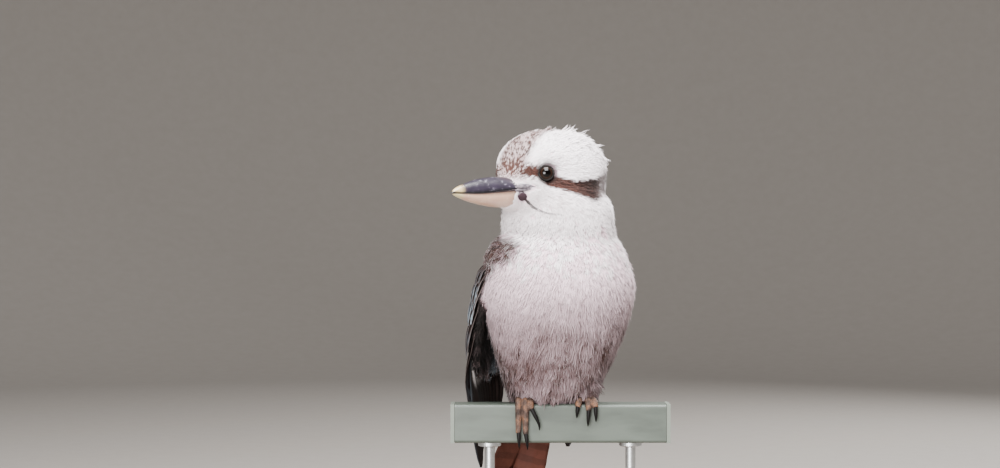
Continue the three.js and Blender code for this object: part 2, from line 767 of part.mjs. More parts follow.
const beds = union([
  ...Object.keys(SIDES).flatMap((name) => [wingCore(name, 2.2 * GAP), shank(name, GAP)]),
  tailStub(GAP),
]);
const headForm = shaped(28, 19, headAt);
const flesh = union([torsoForm(0), neckForm(0), headForm]).subtract(beds).subtract(railRoom);

// Thin cuts part the flesh into head, neck and torso.
const THROAT = { height: 146, slope: 5 };
const COLLAR_HEIGHT = 126;
const throatCut = new THREE.BoxGeometry(200, 200, GAP)
  .rotateX(degToRad(THROAT.slope))
  .rotateZ(degToRad(HEAD_TURN))
  .translate(HEAD_CENTRE.x, HEAD_CENTRE.y, THROAT.height);
const collarCut = new THREE.BoxGeometry(300, 300, GAP).translate(0, 0, COLLAR_HEIGHT);
const parts = flesh
  .subtract(solidOf(throatCut))
  .subtract(solidOf(collarCut))
  .decompose()
  .sort((a, b) => b.volume() - a.volume())
  .slice(0, 3)
  .sort((a, b) => b.boundingBox().max[2] - a.boundingBox().max[2]);
const [headPart, neckPart, torsoPart] = parts;

const bill = { upper: mandible(1, 0), lower: mandible(-1, 0) };
const billBed = union([mandible(1, GAP), mandible(-1, GAP)]);
const nostrils = union(
  [1, -1].map((side) => limb([inHead(side * 9.2, 47, -6.5), inHead(side * 10.6, 43, -7)], [0.8, 1], 6, 3)),
);
const socket = union([eyeball(1, GAP), eyeball(-1, GAP)]);
const face = union([headPart, lid(1), lid(-1), ...crest()])
  .subtract(billBed)
  .subtract(socket)
  .subtract(union([mouthFold(1), mouthFold(-1)]));

add(perched, "head", largest(face), "head");
add(perched, "neck", neckPart, "breast");
add(perched, "torso", torsoPart, "breast");
add(perched, "bill_upper", largest(bill.upper.subtract(nostrils)), "billUpper");
add(perched, "bill_lower", largest(bill.lower), "billLower");
for (const [name, side] of Object.entries(SIDES)) {
  add(perched, `eye_${name}`, eyeball(side, 0), "eye");
  add(perched, `wing_${name}`, wing(name), "wing");
  const leg = shank(name, 0).subtract(railRoom).subtract(tarsus(name, GAP));
  add(perched, `leg_${name}`, largest(leg), "breast");
  add(perched, `foot_${name}`, largest(foot(name).subtract(clawBeds)), "foot");
}
for (const [name, toe] of clawNames) add(perched, `claw_${name}_${toe}`, claw(name, toe), "claw");
add(perched, "tail", tail(), "tail");
add(perched, "perch_rail", rail(), "rail");
add(perched, "perch_cap_left", railCap(1), "cap");
add(perched, "perch_cap_right", railCap(-1), "cap");
add(stand, "stand_base", base(), "base");
add(stand, "stand_rod_left", rod(1), "rod");
add(stand, "stand_rod_right", rod(-1), "rod");

const kookaburra = new THREE.Group();
kookaburra.add(perched, stand);

export default kookaburra;
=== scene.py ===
# %% [markdown]
# # A laughing kookaburra, feathered over its CAD body
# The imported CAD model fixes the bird's size, pose and outline. This lesson dresses it: one smooth skin
# under the feathers, a coat of fine tufts, vaned wings and tail, then the bill, eyes, feet and the stand.
# Everything is in metres in the CAD model's frame, so a piece goes where the CAD says.

# %% Load the frame
import math

import bmesh
import bpy
import numpy as np
from mathutils import Matrix, Vector
from mathutils.bvhtree import BVHTree


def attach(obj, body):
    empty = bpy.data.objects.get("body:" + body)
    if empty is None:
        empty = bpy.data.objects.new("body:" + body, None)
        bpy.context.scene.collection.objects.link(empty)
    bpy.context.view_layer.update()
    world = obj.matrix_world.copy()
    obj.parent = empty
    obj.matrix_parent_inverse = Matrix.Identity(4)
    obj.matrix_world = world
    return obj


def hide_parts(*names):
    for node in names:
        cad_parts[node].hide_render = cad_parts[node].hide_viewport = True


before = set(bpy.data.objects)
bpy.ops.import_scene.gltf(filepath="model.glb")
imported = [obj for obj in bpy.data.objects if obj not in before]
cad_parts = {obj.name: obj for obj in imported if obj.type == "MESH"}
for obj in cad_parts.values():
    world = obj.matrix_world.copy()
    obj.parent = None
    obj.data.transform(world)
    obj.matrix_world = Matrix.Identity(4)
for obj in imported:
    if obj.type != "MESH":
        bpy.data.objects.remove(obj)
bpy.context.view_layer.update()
MM = 0.001

# %% [markdown]
# ## The frames of body and head
# The bird is measured in three frames, as its CAD source is: one on the rail's top, one turned with the
# body and one turned with the head. In each, X is the bird's left and Y its back. Profiles are short
# tables of sections that a smooth curve joins, which keeps a whole torso in a dozen rows.

# %% Frames and smooth tables
BASE_HEIGHT = 16
STAND_MIDDLE = 12  # how far the rail stands behind the middle of the base, towards the camera
TAIL_LENGTH = 150
TAIL_TILT = math.radians(20)
TAIL_SWING = math.radians(13)
TAIL_ROOT = np.array([0, 46, 10])
RAIL_TOP = BASE_HEIGHT + 8 + TAIL_LENGTH * math.cos(TAIL_TILT) - TAIL_ROOT[2] + 4
PERCH = Matrix.Translation((0, -STAND_MIDDLE, RAIL_TOP))
BODY = PERCH @ Matrix.Rotation(math.radians(20), 4, "Z")
HEAD_CENTRE = (-11.3, -4, 178)
HEAD = PERCH @ Matrix.Translation(HEAD_CENTRE) @ Matrix.Rotation(math.radians(-45), 4, "Z")


def placed(points, where):
    """Points in millimetres of a frame, as metres of the whole model."""
    matrix = np.array(where)
    return (np.asarray(points, float) @ matrix[:3, :3].T + matrix[:3, 3]) * MM


def within(points, where):
    """Points in metres of the whole model, as millimetres of a frame."""
    matrix = np.array(where.inverted())
    return np.asarray(points, float) / MM @ matrix[:3, :3].T + matrix[:3, 3]


def turned(direction, where):
    """A direction of a frame, as one of the whole model."""
    return np.asarray(direction, float) @ np.array(where)[:3, :3].T


def ramp(value, low, high):
    """0 below low, 1 above high, and smooth between them."""
    share = np.clip((np.asarray(value, float) - low) / (high - low), 0, 1)
    return share * share * (3 - 2 * share)


def track(rows):
    """A smooth curve through rows of numbers, from 0 at the first to 1 at the last."""
    rows = np.array(rows, float)
    last = len(rows) - 1

    def follow(share):
        at = np.clip(np.asarray(share, float), 0, 1) * last
        i = np.minimum(at.astype(int), last - 1)
        u = (at - i)[..., None]
        p, q, r, s = (rows[np.clip(i + k, 0, last)] for k in (-1, 0, 1, 2))
        return q + 0.5 * u * (r - p + u * (2 * p - 5 * q + 4 * r - s + u * (3 * (q - r) + s - p)))

    return follow


def unit(vectors):
    return vectors / np.maximum(np.linalg.norm(vectors, axis=-1, keepdims=True), 1e-12)


print("rail top at", round(RAIL_TOP, 1), "mm")

# %% [markdown]
# ## Camera, light and floor
# The photograph was taken at the bird's own height with a moderate telephoto, so the camera looks level.
# The floor curves up into a pale round cove on all sides, so that no view shows an edge. Soft boxes above
# and in front stand for the open sky: they light the crown most and leave the belly in gentle shade.

# %% Camera and studio
def linked(name, data):
    obj = bpy.data.objects.new(name, data)
    bpy.context.scene.collection.objects.link(obj)
    return obj


camera = linked("camera", bpy.data.cameras.new("camera"))
camera.location = (-0.0469, -1.412, 0.291)
camera.rotation_euler = (math.radians(90), 0, 0)
camera.data.lens = 64.5
bpy.context.scene.camera = camera

SOFT_BOXES = [  # name, place, what it looks at, width, power
    ("sky_box", (0.15, -0.5, 1.35), (0, 0, 0.28), 0.9, 92),
    ("front_box", (-0.6, -1.7, 0.5), (0, 0, 0.28), 0.9, 92),
    ("back_box", (0.9, 1.2, 1.0), (0, 0, 0.25), 1.0, 30),
]
for name, place, target, width, power in SOFT_BOXES:
    light = linked(name, bpy.data.lights.new(name, "AREA"))
    light.data.size = width
    light.data.energy = power
    light.location = place
    light.rotation_euler = (Vector(target) - Vector(place)).to_track_quat("-Z", "Y").to_euler()
world = bpy.data.worlds.new("studio")
bpy.context.scene.world = world
world.use_nodes = True
world.node_tree.nodes["Background"].inputs["Color"].default_value = (1, 0.97, 0.98, 1)
world.node_tree.nodes["Background"].inputs["Strength"].default_value = 0.45

# %% [markdown]
# ## Helpers for materials
# Colours are written as the hex values that a paint or feather chart gives, and one function turns them
# to the linear values that a shader works in. One small function adds a node, sets it and links it. Most
# real surfaces are stained or grained by one colour over another, so that pattern is a function too.

# %% Material helpers
def colour(code):
    """An sRGB hex colour as linear red, green, blue and alpha."""
    srgb = [int(code[i : i + 2], 16) / 255 for i in (1, 3, 5)]
    return [c / 12.92 if c <= 0.04045 else ((c + 0.055) / 1.055) ** 2.4 for c in srgb] + [1]


def node(tree, kind, inputs=(), **settings):
    """Adds a shader node. An input is a value, or the output socket that feeds it."""
    made = tree.nodes.new("ShaderNode" + kind)
    for key, value in settings.items():
        setattr(made, key, value)
    for key, value in dict(inputs).items():
        if isinstance(value, bpy.types.NodeSocket):
            tree.links.new(value, made.inputs[key])
        else:
            made.inputs[key].default_value = value
    return made


def material(name, **surface):
    """A new material, its node tree and its shader, with the shader's constant values set."""
    made = bpy.data.materials.new(name)
    made.use_nodes = True
    shader = made.node_tree.nodes["Principled BSDF"]
    for socket, value in surface.items():
        shader.inputs[socket.replace("_", " ")].default_value = value
    return made, made.node_tree, shader


def coloured(tint, stops):
    """Sets a colour ramp to stops of a place and a hex colour."""
    for at, code in stops[2:]:
        tint.color_ramp.elements.new(at)
    for element, (at, code) in zip(tint.color_ramp.elements, stops):
        element.position = at
        element.color = colour(code)


def wired(tree, shader, relief=None, **sockets):
    """Links outputs to a shader's inputs. Relief is a height, the bumps' strength and their size in mm."""
    for socket, source in sockets.items():
        tree.links.new(source, shader.inputs[socket.replace("_", " ")])
    if relief:
        height, strength, size = relief
        raised = node(tree, "Bump", {"Strength": strength, "Distance": size * MM, "Height": height})
        tree.links.new(raised.outputs["Normal"], shader.inputs["Normal"])


def stained(name, size, detail, stops, stretch=(1, 1, 1), distortion=0.0, relief=None, **surface):
    """A material whose colour follows stains of a size in mm, and its tree, shader, place, stains and tint.
    Relief gives bumps on the stains: their strength and their size in mm."""
    made, tree, shader = material(name, **surface)
    place = node(tree, "TexCoord").outputs["Object"]
    laid = node(tree, "Mapping", {"Vector": place, "Scale": stretch}).outputs[0]
    spread = {"Vector": laid, "Scale": 1 / (size * MM), "Detail": detail, "Distortion": distortion}
    stain = node(tree, "TexNoise", spread).outputs["Fac"]
    tint = node(tree, "ValToRGB", {"Fac": stain})
    coloured(tint, stops)
    wired(tree, shader, relief and (stain, *relief), Base_Color=tint.outputs["Color"])
    return made, tree, shader, place, stain, tint.outputs["Color"]


MIXED = {"data_type": "RGBA"}
TIMES = {"data_type": "RGBA", "blend_type": "MULTIPLY"}


# %% [markdown]
# ## The floor
# Matt paper: one pale colour with the faintest grain.

# %% Floor
def spun(bm, parts, steps):
    """Turns vertices and edges of bm once round Z, and closes the ends."""
    bmesh.ops.spin(
        bm, geom=parts, cent=(0, 0, 0), axis=(0, 0, 1), angle=2 * math.pi, steps=steps, use_merge=True
    )
    bmesh.ops.remove_doubles(bm, verts=bm.verts, dist=1e-6)


def lathed(bm, profile, steps):
    """Turns a profile of radii and heights, in metres, once round Z."""
    line = [bm.verts.new((r, 0, z)) for r, z in profile]
    edges = [bm.edges.new(pair) for pair in zip(line, line[1:])]
    spun(bm, line + edges, steps)


paper, *_ = stained("matt_backdrop_paper", 20, 2.0, [(0, "#827c76"), (1, "#88837d")], Roughness=0.9)

FLOOR_RADIUS, COVE, WALL_TOP = 2.2, 1.2, 3.2  # in metres
bm = bmesh.new()
profile = [(0, 0), (FLOOR_RADIUS, 0)]
for turn in np.linspace(0.1, math.pi / 2, 14):
    profile += [(FLOOR_RADIUS + COVE * math.sin(turn), COVE - COVE * math.cos(turn))]
profile += [(FLOOR_RADIUS + COVE, WALL_TOP)]
lathed(bm, profile, 64)
bmesh.ops.recalc_face_normals(bm, faces=bm.faces)
bmesh.ops.reverse_faces(bm, faces=bm.faces)
mesh = bpy.data.meshes.new("floor")
bm.to_mesh(mesh)
mesh.shade_smooth()
mesh.materials.append(paper)
linked("floor", mesh)

# %% [markdown]
# ## A piece of the model
# Every piece ends the same way: its mesh becomes an object at the origin with its material, it rides on the
# CAD body, and it says which CAD nodes it stands for.

# %% Finishing a piece
def mesh_from(bm, name):
    mesh = bpy.data.meshes.new(name)
    bmesh.ops.recalc_face_normals(bm, faces=bm.faces)
    bm.to_mesh(mesh)
    bm.free()
    return mesh


def piece(name, mesh, finish, stands_for=()):
    """Finishes a piece from a mesh, or from a bmesh, and returns its object."""
    if isinstance(mesh, bmesh.types.BMesh):
        mesh = mesh_from(mesh, name)
    mesh.name = name
    obj = linked(name, mesh)
    mesh.materials.append(finish)
    mesh.shade_smooth()
    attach(obj, "root")
    if stands_for:
        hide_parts(*stands_for)
    mesh.calc_loop_triangles()
    print(f"{name}: {len(mesh.loop_triangles)} triangles")
    return obj


def shaped(bm, columns, rows, place):
    """Adds a sphere to bm and lays its grid out by place(along, around), along 0 to 1 from pole to pole."""
    made = bmesh.ops.create_uvsphere(bm, u_segments=columns, v_segments=rows, radius=1)["verts"]
    ball = np.array([v.co for v in made])
    along = np.round(np.arccos(np.clip(ball[:, 2], -1, 1)) / math.pi * rows) / rows
    around = np.arctan2(ball[:, 1], ball[:, 0])
    for vert, point in zip(made, place(along, around)):
        vert.co = point
    return made


# %% [markdown]
# ## The skin
# A bird's outline is its plumage, so the skin lies inside it by the coat's depth: about 3 mm on the body
# and 1 to 2 mm on the head. Torso, neck, head, shanks, wing arms and tail stub are each a sphere laid out
# by a formula. A voxel remesh fuses them into one surface, and smoothing turns the joints into soft
# transitions.

# %% Torso and neck
COAT = {"body": 3.0, "neck": 3.0, "head": 2.0}

# Height, place along the back, half width, and reach to the front and the back.
TORSO = track([
    [-22, 35, 0, 0, 0],
    [-19, 33, 13, 9, 7],
    [-9, 29, 25, 13, 17],
    [4, 21, 34.5, 33, 30],
    [22, 13, 41.5, 40, 43],
    [45, 8, 50.5, 48, 48],
    [68, 5, 57.5, 53, 48],
    [88, 3, 61, 55, 47],
    [108, 2, 56, 52, 45],
    [124, 2, 49, 47, 41],
    [136, 2, 40, 40, 34],
    [146, 2, 26, 27, 22],
    [150, 2, 0, 0, 0],
])

# Height, centre in X and Y, and half widths of the neck.
NECK = track([
    [104, 0, 2, 0, 0],
    [107, 0, 2, 30, 28],
    [120, 0, 1, 43.5, 42],
    [133, -1, 0, 45, 44],
    [146, -2, -2, 45.5, 43],
    [157, -3, -3, 43.5, 41],
    [167, -6, -4, 34, 34],
    [173, -8, -4, 0, 0],
])


# How far the right shoulder stands out under the wing, at which height, and how far up and down.
SHOULDER = {"out": 7.5, "height": 117, "spread": 15}


def bump(x, y, radius):
    """A smooth hill, 1 at the origin, that has sunk to 0.37 at the radius."""
    return np.exp(-(x * x + y * y) / (radius * radius))


TORSO_STEP = np.linspace(0, 1, 200)
TORSO_Z = TORSO(TORSO_STEP)[:, 0]


def torso(along, around):
    z, back, width, front, rear = TORSO(along).T
    reach = np.where(np.sin(around) < 0, front, rear)
    side = np.maximum(width - COAT["body"], 0) * np.cos(around)
    swell = SHOULDER["out"] * bump(z - SHOULDER["height"], 0, SHOULDER["spread"])
    side = side - swell * np.clip(-np.cos(around), 0, 1)
    back = back + np.maximum(reach - COAT["body"], 0) * np.sin(around)
    return placed(np.stack([side, back, z], -1), BODY)


def neck(along, around):
    z, x, y, wide, deep = NECK(along).T
    wide = np.maximum(wide - COAT["neck"], 0)
    deep = np.maximum(deep - COAT["neck"], 0)
    return placed(np.stack([x + wide * np.cos(around), y + deep * np.sin(around), z], -1), PERCH)


# %% [markdown]
# ## The head
# The head gets the most care. Its sections run from the bill's base to the nape, a little fuller than
# ellipses. A shallow hollow round each eye gives the brow above it and the cheek below it.

# %% Head form
# Forward of the head's centre, half width, crown above it and chin below it.
HEAD_ROWS = track([
    [42.5, 0, -8, -8],
    [41.5, 11, 0, -18],
    [38, 21, 13, -27],
    [31, 27.5, 24.5, -33],
    [20, 33, 32, -38],
    [6, 37, 35.3, -42],
    [-10, 39, 35.8, -45],
    [-25, 37, 34, -46],
    [-38, 30, 27, -43],
    [-47, 19, 15, -34],
    [-50.5, 0, -8, -8],
])
FULL = 0.9  # below 1, a section is fuller than an ellipse
EYE_FORWARD = 22
EYE_SIDE = 20.3
EYE_RADIUS = 7.4


def head_form(along, around, coat):
    forward, width, top, bottom = HEAD_ROWS(along).T
    face = ramp(forward, 20, 38)
    depth = coat * (1 - 0.5 * face)
    width = np.maximum(width - depth, 0)
    high = np.maximum(top - np.where(top > 0, depth, 0), 0)
    low = np.maximum(-bottom - depth, 0)
    c, s = np.cos(around), np.sin(around)
    x = width * np.sign(c) * np.abs(c) ** FULL
    z = np.where(s > 0, high, low) * np.sign(s) * np.abs(s) ** FULL
    front = np.where(top < 0, top * (1 - np.abs(s)), 0)
    dent = 8 * bump(0.75 * (forward - EYE_FORWARD - 2), z, 10)
    x = x - np.sign(x) * np.minimum(dent, np.abs(x))
    return np.stack([x, -forward * (1 - 0.03 * coat / 2), z + front], -1)


def head(along, around):
    return placed(head_form(along, around, COAT["head"]), HEAD)


def from_eye(side, forward, up):
    """How far places on the head are from the centre of the eye on their side, in millimetres."""
    return np.linalg.norm(np.stack([np.abs(side) - EYE_SIDE, forward - EYE_FORWARD, up], -1), axis=1)


# %% [markdown]
# ## Wing guides, shanks and tail stub
# A folded wing lies round the body like a shell. The guide surface of each one carries its feathers
# later, and a flat arm under it joins the skin, so that no feather roots in air.

# %% Wing guides
# At equal steps from the shoulder's top to the tip's end: place along the back, half width, reach to the
# back, and the angles from straight back of the leading and the dorsal edge, in degrees.
WINGS = {
    "left": (1, 130, -40, track([
        [2, 45, 41, 88, 20],
        [4, 59, 51, 84, 8],
        [8, 61, 53, 82, 6],
        [12, 56, 51, 78, 6],
        [16, 50, 48, 70, 11],
        [21, 43, 44, 60, 24],
        [27, 36, 39, 52, 42],
    ])),
    "right": (-1, 130, -56, track([
        [2, 46, 41, 100, 20],
        [5, 61.5, 52, 98, 8],
        [9, 66.5, 54, 95, 6],
        [13, 68, 53, 88, 6],
        [17, 67, 51, 66, 11],
        [24, 63, 48, 60, 24],
        [31, 57, 44, 54, 40],
    ])),
}


def wing_surface(name, along, across, depth=0):
    """A folded wing's outside: along is 0 at the shoulder and 1 at the tip, across -1 to 1 to the back."""
    side, top, tip, rows = WINGS[name]
    back, width, rear, lead, dorsal = np.moveaxis(rows(along), -1, 0)
    angle = np.radians(lead + (dorsal - lead) * (across + 1) / 2)
    height = top + (tip - top) * np.asarray(along, float)
    x = side * (width - depth) * np.sin(angle)
    return placed(np.stack([x, back + (rear - depth) * np.cos(angle), height], -1), BODY)


def wing_arm(name):
    def place(along, around):
        across = 0.88 * np.cos(around) * np.sin(along * math.pi) ** 0.35
        depth = 4.5 - 3.5 * np.sin(around) * np.sin(along * math.pi)
        return wing_surface(name, -0.02 + 0.64 * along, across, depth)

    return place


FOOT_X = {"left": 22, "right": -30}


def shank(name):
    def place(along, around):
        wide = np.sin(along * math.pi)
        x = FOOT_X[name] * 0.84 + 10.5 * wide * np.cos(around)
        y = 2 + 11 * wide * np.sin(around)
        return placed(np.stack([x, y, 12 - 11.5 * np.cos(along * math.pi)], -1), PERCH)

    return place


TAIL_AXIS = np.array([
    -math.sin(TAIL_SWING) * math.cos(TAIL_TILT),
    math.sin(TAIL_TILT),
    -math.cos(TAIL_TILT) * math.cos(TAIL_SWING),
])
TAIL_BACK = np.array([0, math.cos(TAIL_TILT), math.sin(TAIL_TILT)])
TAIL_SIDE = -unit(np.cross(TAIL_BACK, TAIL_AXIS))


def tail_point(length, left, out):
    """A point of the tail: along its length, to its left and out of its back."""
    along, side, away = (np.asarray(v, float)[..., None] for v in (length, left, out))
    return placed(TAIL_ROOT + along * TAIL_AXIS + side * TAIL_SIDE + away * TAIL_BACK, BODY)


def bill_sleeve(along, around):
    """The skin that grows over the bill's base, so that the face runs into the bill without a step."""
    forward = 24 + 27.5 * along
    wide = np.sin(np.clip(along, 0, 1) * math.pi) ** 0.3
    side = 15.2 * wide * (1 - 0.12 * along)
    return placed(np.stack([side * np.cos(around), -forward, -14 + 13.8 * wide * np.sin(around)], -1), HEAD)


def tail_stub(along, around):
    wide = np.sin(along * math.pi)
    length = 7 - 22 * np.cos(along * math.pi)
    return tail_point(length, 13 * wide * np.cos(around), -5 + 9 * wide * np.sin(around))


# %% [markdown]
# ## One surface
# The forms overlap, so a boolean would leave sharp valleys. A voxel remesh reads them as one volume and
# wraps it in even quads, which smooth well and which later carry the roots of the feathers.

# %% Fuse the skin
def fused(name, bm, voxel, smoothing):
    """The forms in bm as one smooth mesh of even quads."""
    obj = linked(name, mesh_from(bm, name))
    remesh = obj.modifiers.new("fuse", "REMESH")
    remesh.mode = "VOXEL"
    remesh.voxel_size = voxel
    smooth = obj.modifiers.new("smooth", "SMOOTH")
    smooth.factor = 0.5
    smooth.iterations = smoothing
    made = bpy.data.meshes.new_from_object(obj.evaluated_get(bpy.context.evaluated_depsgraph_get()))
    bpy.data.objects.remove(obj)
    made.name = name
    return made


bm = bmesh.new()
shaped(bm, 60, 48, torso)
shaped(bm, 52, 30, neck)
shaped(bm, 56, 48, head)
shaped(bm, 24, 16, tail_stub)
shaped(bm, 32, 16, bill_sleeve)
for name in WINGS:
    shaped(bm, 32, 24, wing_arm(name))
    shaped(bm, 24, 16, shank(name))
skin_mesh = fused("skin", bm, 1.5 * MM, 10)
skin_points = np.empty(len(skin_mesh.vertices) * 3)
skin_mesh.vertices.foreach_get("co", skin_points)
skin_points = skin_points.reshape(-1, 3)
bm = bmesh.new()
bm.from_mesh(skin_mesh)
bmesh.ops.triangulate(bm, faces=bm.faces)
skin_tree = BVHTree.FromBMesh(bm)
skin_faces = np.array([[v.index for v in face.verts] for face in bm.faces])
bm.free()
print("skin vertices:", len(skin_points))


# %% [markdown]
# ## Markings
# Skin and feathers read the same markings, so a gap between feathers never shows a wrong colour. They are
# functions of the place on the bird, kept as four masks: brown, near black, rufous and pale blue, all
# over cream white. On the head the distance past the bill along the side of the face steers the eye
# stripe.

# %% Marking masks
BROWN, DARK, RUFOUS, BLUE = range(4)

# Past the bill along the side of the face: the eye stripe's upper and lower edge, up from the eye's height.
STRIPE_AT = [-8, 10, 31, 52, 60, 68]
STRIPE_TOP = [-1, -1.9, -5.3, -3.8, 0, 5]
STRIPE_FOOT = [-8, -11.5, -15.9, -21.5, -18.8, -18]


def clouds(points, size):
    """Soft blotches from 0 to 1, about as wide as size in mm: sines in turned directions, multiplied."""
    a, b, c = (within(points, BODY) * (math.pi / size)).T
    first = np.sin(a + 0.7 * c + 1.3 * np.sin(0.6 * b)) * np.sin(0.8 * c - 0.5 * a + 1.1 * np.sin(0.7 * a))
    second = np.sin(1.9 * a + 1.3 * b - 0.8 * c) * np.sin(1.7 * c + 0.9 * a + 2)
    return np.clip(0.5 + 0.4 * first + 0.3 * second, 0, 1)


def bare_face(points):
    """1 on the bare skin behind the bill, at the corner of the mouth, and 0 on the feathers."""
    side, back, up = within(points, HEAD).T
    past = np.abs(side) + back
    corner = ramp(2.9 * ramp(-past, 10, 20) - np.abs(up + 10.9), -0.6, 0.6)
    corner *= ramp(past, -40, -36) * (past < -11)
    spot = ramp(1 - np.hypot((past + 26.5) / 6, (up + 17.6) / 4.2), -0.12, 0.12)
    return np.maximum(corner, spot)


def head_marks(points, chance):
    side, back, up = within(points, HEAD).T
    forward, side = -back, np.abs(side)
    past = side - forward
    marks = np.zeros((len(points), 4))
    # The crown: dark scaly feathers among paler brown ones, in a band that is widest in front.
    half = 8 + 6 * ramp(forward, 0, 30)
    crown = ramp(half - side, -4, 2) * ramp(up, -8, 0) * (0.55 + 0.45 * ramp(forward, -25, 5))
    scaly = chance > 0.47
    marks[:, BROWN] = crown * np.where(scaly, 0.95, 0.3 + 0.6 * chance)
    marks[:, RUFOUS] = crown * np.where(scaly, 0.05, 0.42)
    marks[:, DARK] = crown * np.where(scaly, 0.25, 0)
    # The lores between bill and eye, and a faint wash below them.
    lores = 1 - np.hypot((past + 15.5) / 21.5, (up - 1.6) / 7.4)
    lores = ramp(lores + 0.4 * (chance - 0.5), 0, 0.7) * ramp(side, 4, 10)
    wash = np.exp(-(((past + 8) / 15) ** 2) - ((up + 7) / 6.5) ** 2)
    marks[:, BROWN] += 0.3 * wash * (0.5 + chance)
    # The stripe behind the eye, streaked with white where it ends on the nape.
    stripe = ramp(np.interp(past, STRIPE_AT, STRIPE_TOP) - up, -1.4, 1.2)
    stripe *= ramp(up - np.interp(past, STRIPE_AT, STRIPE_FOOT), -1.4, 1.2) * ramp(past, -7, 1)
    nape = np.clip(ramp(past, 52, 60) + ramp(-forward, 34, 42), 0, 1)
    stripe = stripe * (1 - nape * np.where(chance > 0.2, 0.2, 0.5))
    marks[:, BROWN] = np.maximum(marks[:, BROWN], np.maximum(stripe, lores))
    marks[:, RUFOUS] *= 1 - np.maximum(stripe, lores)
    marks[:, DARK] += (0.35 + 0.4 * chance) * (stripe * ramp(past, -9, 12) * (1 - 0.85 * nape) + lores)
    marks[:, DARK] += 0.25 * stripe * ramp(past, 25, 45) * (1 - nape)
    # The dark ring of small feathers round the eye, and painted shadow of the lid on the brow above it.
    ring = from_eye(side, forward, up)
    marks[:, DARK] = np.maximum(marks[:, DARK], 0.85 * ramp(10.6 - ring, 0, 1.6))
    brow_shadow = ramp(12.8 - ring, 0, 2) * ramp(up, 1.5, 5) * ramp(past, -6, 0)
    marks[:, DARK] = np.maximum(marks[:, DARK], 0.35 * brow_shadow)
    # Bare skin, and the warm tints of cheek and brow.
    bare = bare_face(points)
    marks *= 1 - bare[:, None]
    marks[:, DARK] += 0.42 * bare
    marks[:, BLUE] += 0.2 * bare
    cheek = np.exp(-(((past - 12) / 30) ** 2) - ((up + 22) / 13) ** 2)
    marks[:, BROWN] += 0.2 * cheek * chance
    marks[:, RUFOUS] += 0.17 * cheek * (0.4 + chance)
    front = ramp(forward, 24, 34) * ramp(up, -12, -4) * ramp(-up, -14, -4)
    marks[:, RUFOUS] += 0.1 * (0.3 + chance) * front
    return marks


def body_marks(points, chance):
    x, y, z = within(points, BODY).T
    # The brown mantle ends at an angle from straight back, further round on the right shoulder. Low on the
    # body it reaches further round on both sides: painted shadow between wing and belly.
    behind = np.degrees(np.arctan2(np.abs(x), y - 4))
    limit = 72 - 34 * ramp(z, 122, 152) + 20 * ramp(-z, -60, -30)
    limit = limit + 32 * ramp(-x, 0, 20) * ramp(z, 88, 104) * ramp(-z, -141, -124)
    mantle_and_flank_shadow = ramp(limit - behind, -7, 7) * ramp(-z, -158, -142)
    rump = mantle_and_flank_shadow * ramp(-z, -35, 0) * ramp(50 - behind, 0, 15)
    # Flanks that bulge past the torso's own form lie under the wings, and are painted dark brown as the
    # wings' shadow.
    _, back, width, front, rear = np.moveaxis(TORSO(np.interp(z, TORSO_Z, TORSO_STEP)), -1, 0)
    deep = np.where(y < back, front, rear)
    bulge = (x / np.maximum(width, 1)) ** 2 + ((y - back) / np.maximum(deep, 1)) ** 2
    painted_flank_shadow = ramp(bulge, 1.0, 1.1) * ramp(z, 14, 26) * ramp(-z, -132, -124)
    mantle_and_flank_shadow = np.maximum(mantle_and_flank_shadow, painted_flank_shadow)
    marks = np.zeros((len(points), 4))
    marks[:, BROWN] = mantle_and_flank_shadow * (0.8 + 0.2 * chance)
    # The near black on the lower flanks is painted shadow too.
    marks[:, DARK] = mantle_and_flank_shadow * (0.1 + 0.25 * chance) + 0.75 * painted_flank_shadow * ramp(-z, -110, -80)
    marks[:, BLUE] = rump * 0.5 * (chance > 0.5)
    # The white front turns to a soft mottled fawn down the belly, darkened further there by painted shade
    # under the rounded belly.
    belly_fawn_and_shade = ramp(-z, -118, -38)
    mottle = 0.6 * clouds(points, 8) + 0.8 * clouds(points + 0.03, 19)
    shade = 0.02 + 0.06 * mottle + belly_fawn_and_shade * (0.56 + 0.2 * mottle) + 0.07 * chance * chance
    marks[:, BROWN] += (1 - mantle_and_flank_shadow) * shade
    marks[:, DARK] += (1 - mantle_and_flank_shadow) * belly_fawn_and_shade * 0.1 * mottle
    marks[:, RUFOUS] += (1 - mantle_and_flank_shadow) * 0.03
    return marks


def markings(points, chance):
    """The four masks at points of the bird. Chance is 0 to 1 for each feather, for streaks and mottling."""
    height = within(points, PERCH)[:, 2]
    share = ramp(height, 142, 152)[:, None]
    both = share * head_marks(points, chance) + (1 - share) * body_marks(points, chance)
    return np.clip(both, 0, 1)


# %% [markdown]
# ## The plumage material
# Feathers are keratin: matt, a little silky at a grazing angle. The four masks mix real feather colours
# over cream white. Fine noise at the width of a barb breaks every highlight.

# %% Plumage material
PIGMENTS = ["#37231e", "#0d0a09", "#7c4436", "#a9bbc8"]  # brown, near black, rufous, pale blue
WHITE = "#faf5f4"


def pigmented(tree, white):
    """The colour of the four masks over a white, and the masks one by one."""
    masks = node(tree, "Attribute", attribute_name="pigment")
    split = node(tree, "SeparateColor", {"Color": masks.outputs["Color"]})
    masks = [*split.outputs, masks.outputs["Alpha"]]
    shade = colour(white)
    for mask, pigment in zip(masks, PIGMENTS):
        shade = node(tree, "Mix", {0: mask, 6: shade, 7: colour(pigment)}, **MIXED).outputs[2]
    return shade, masks


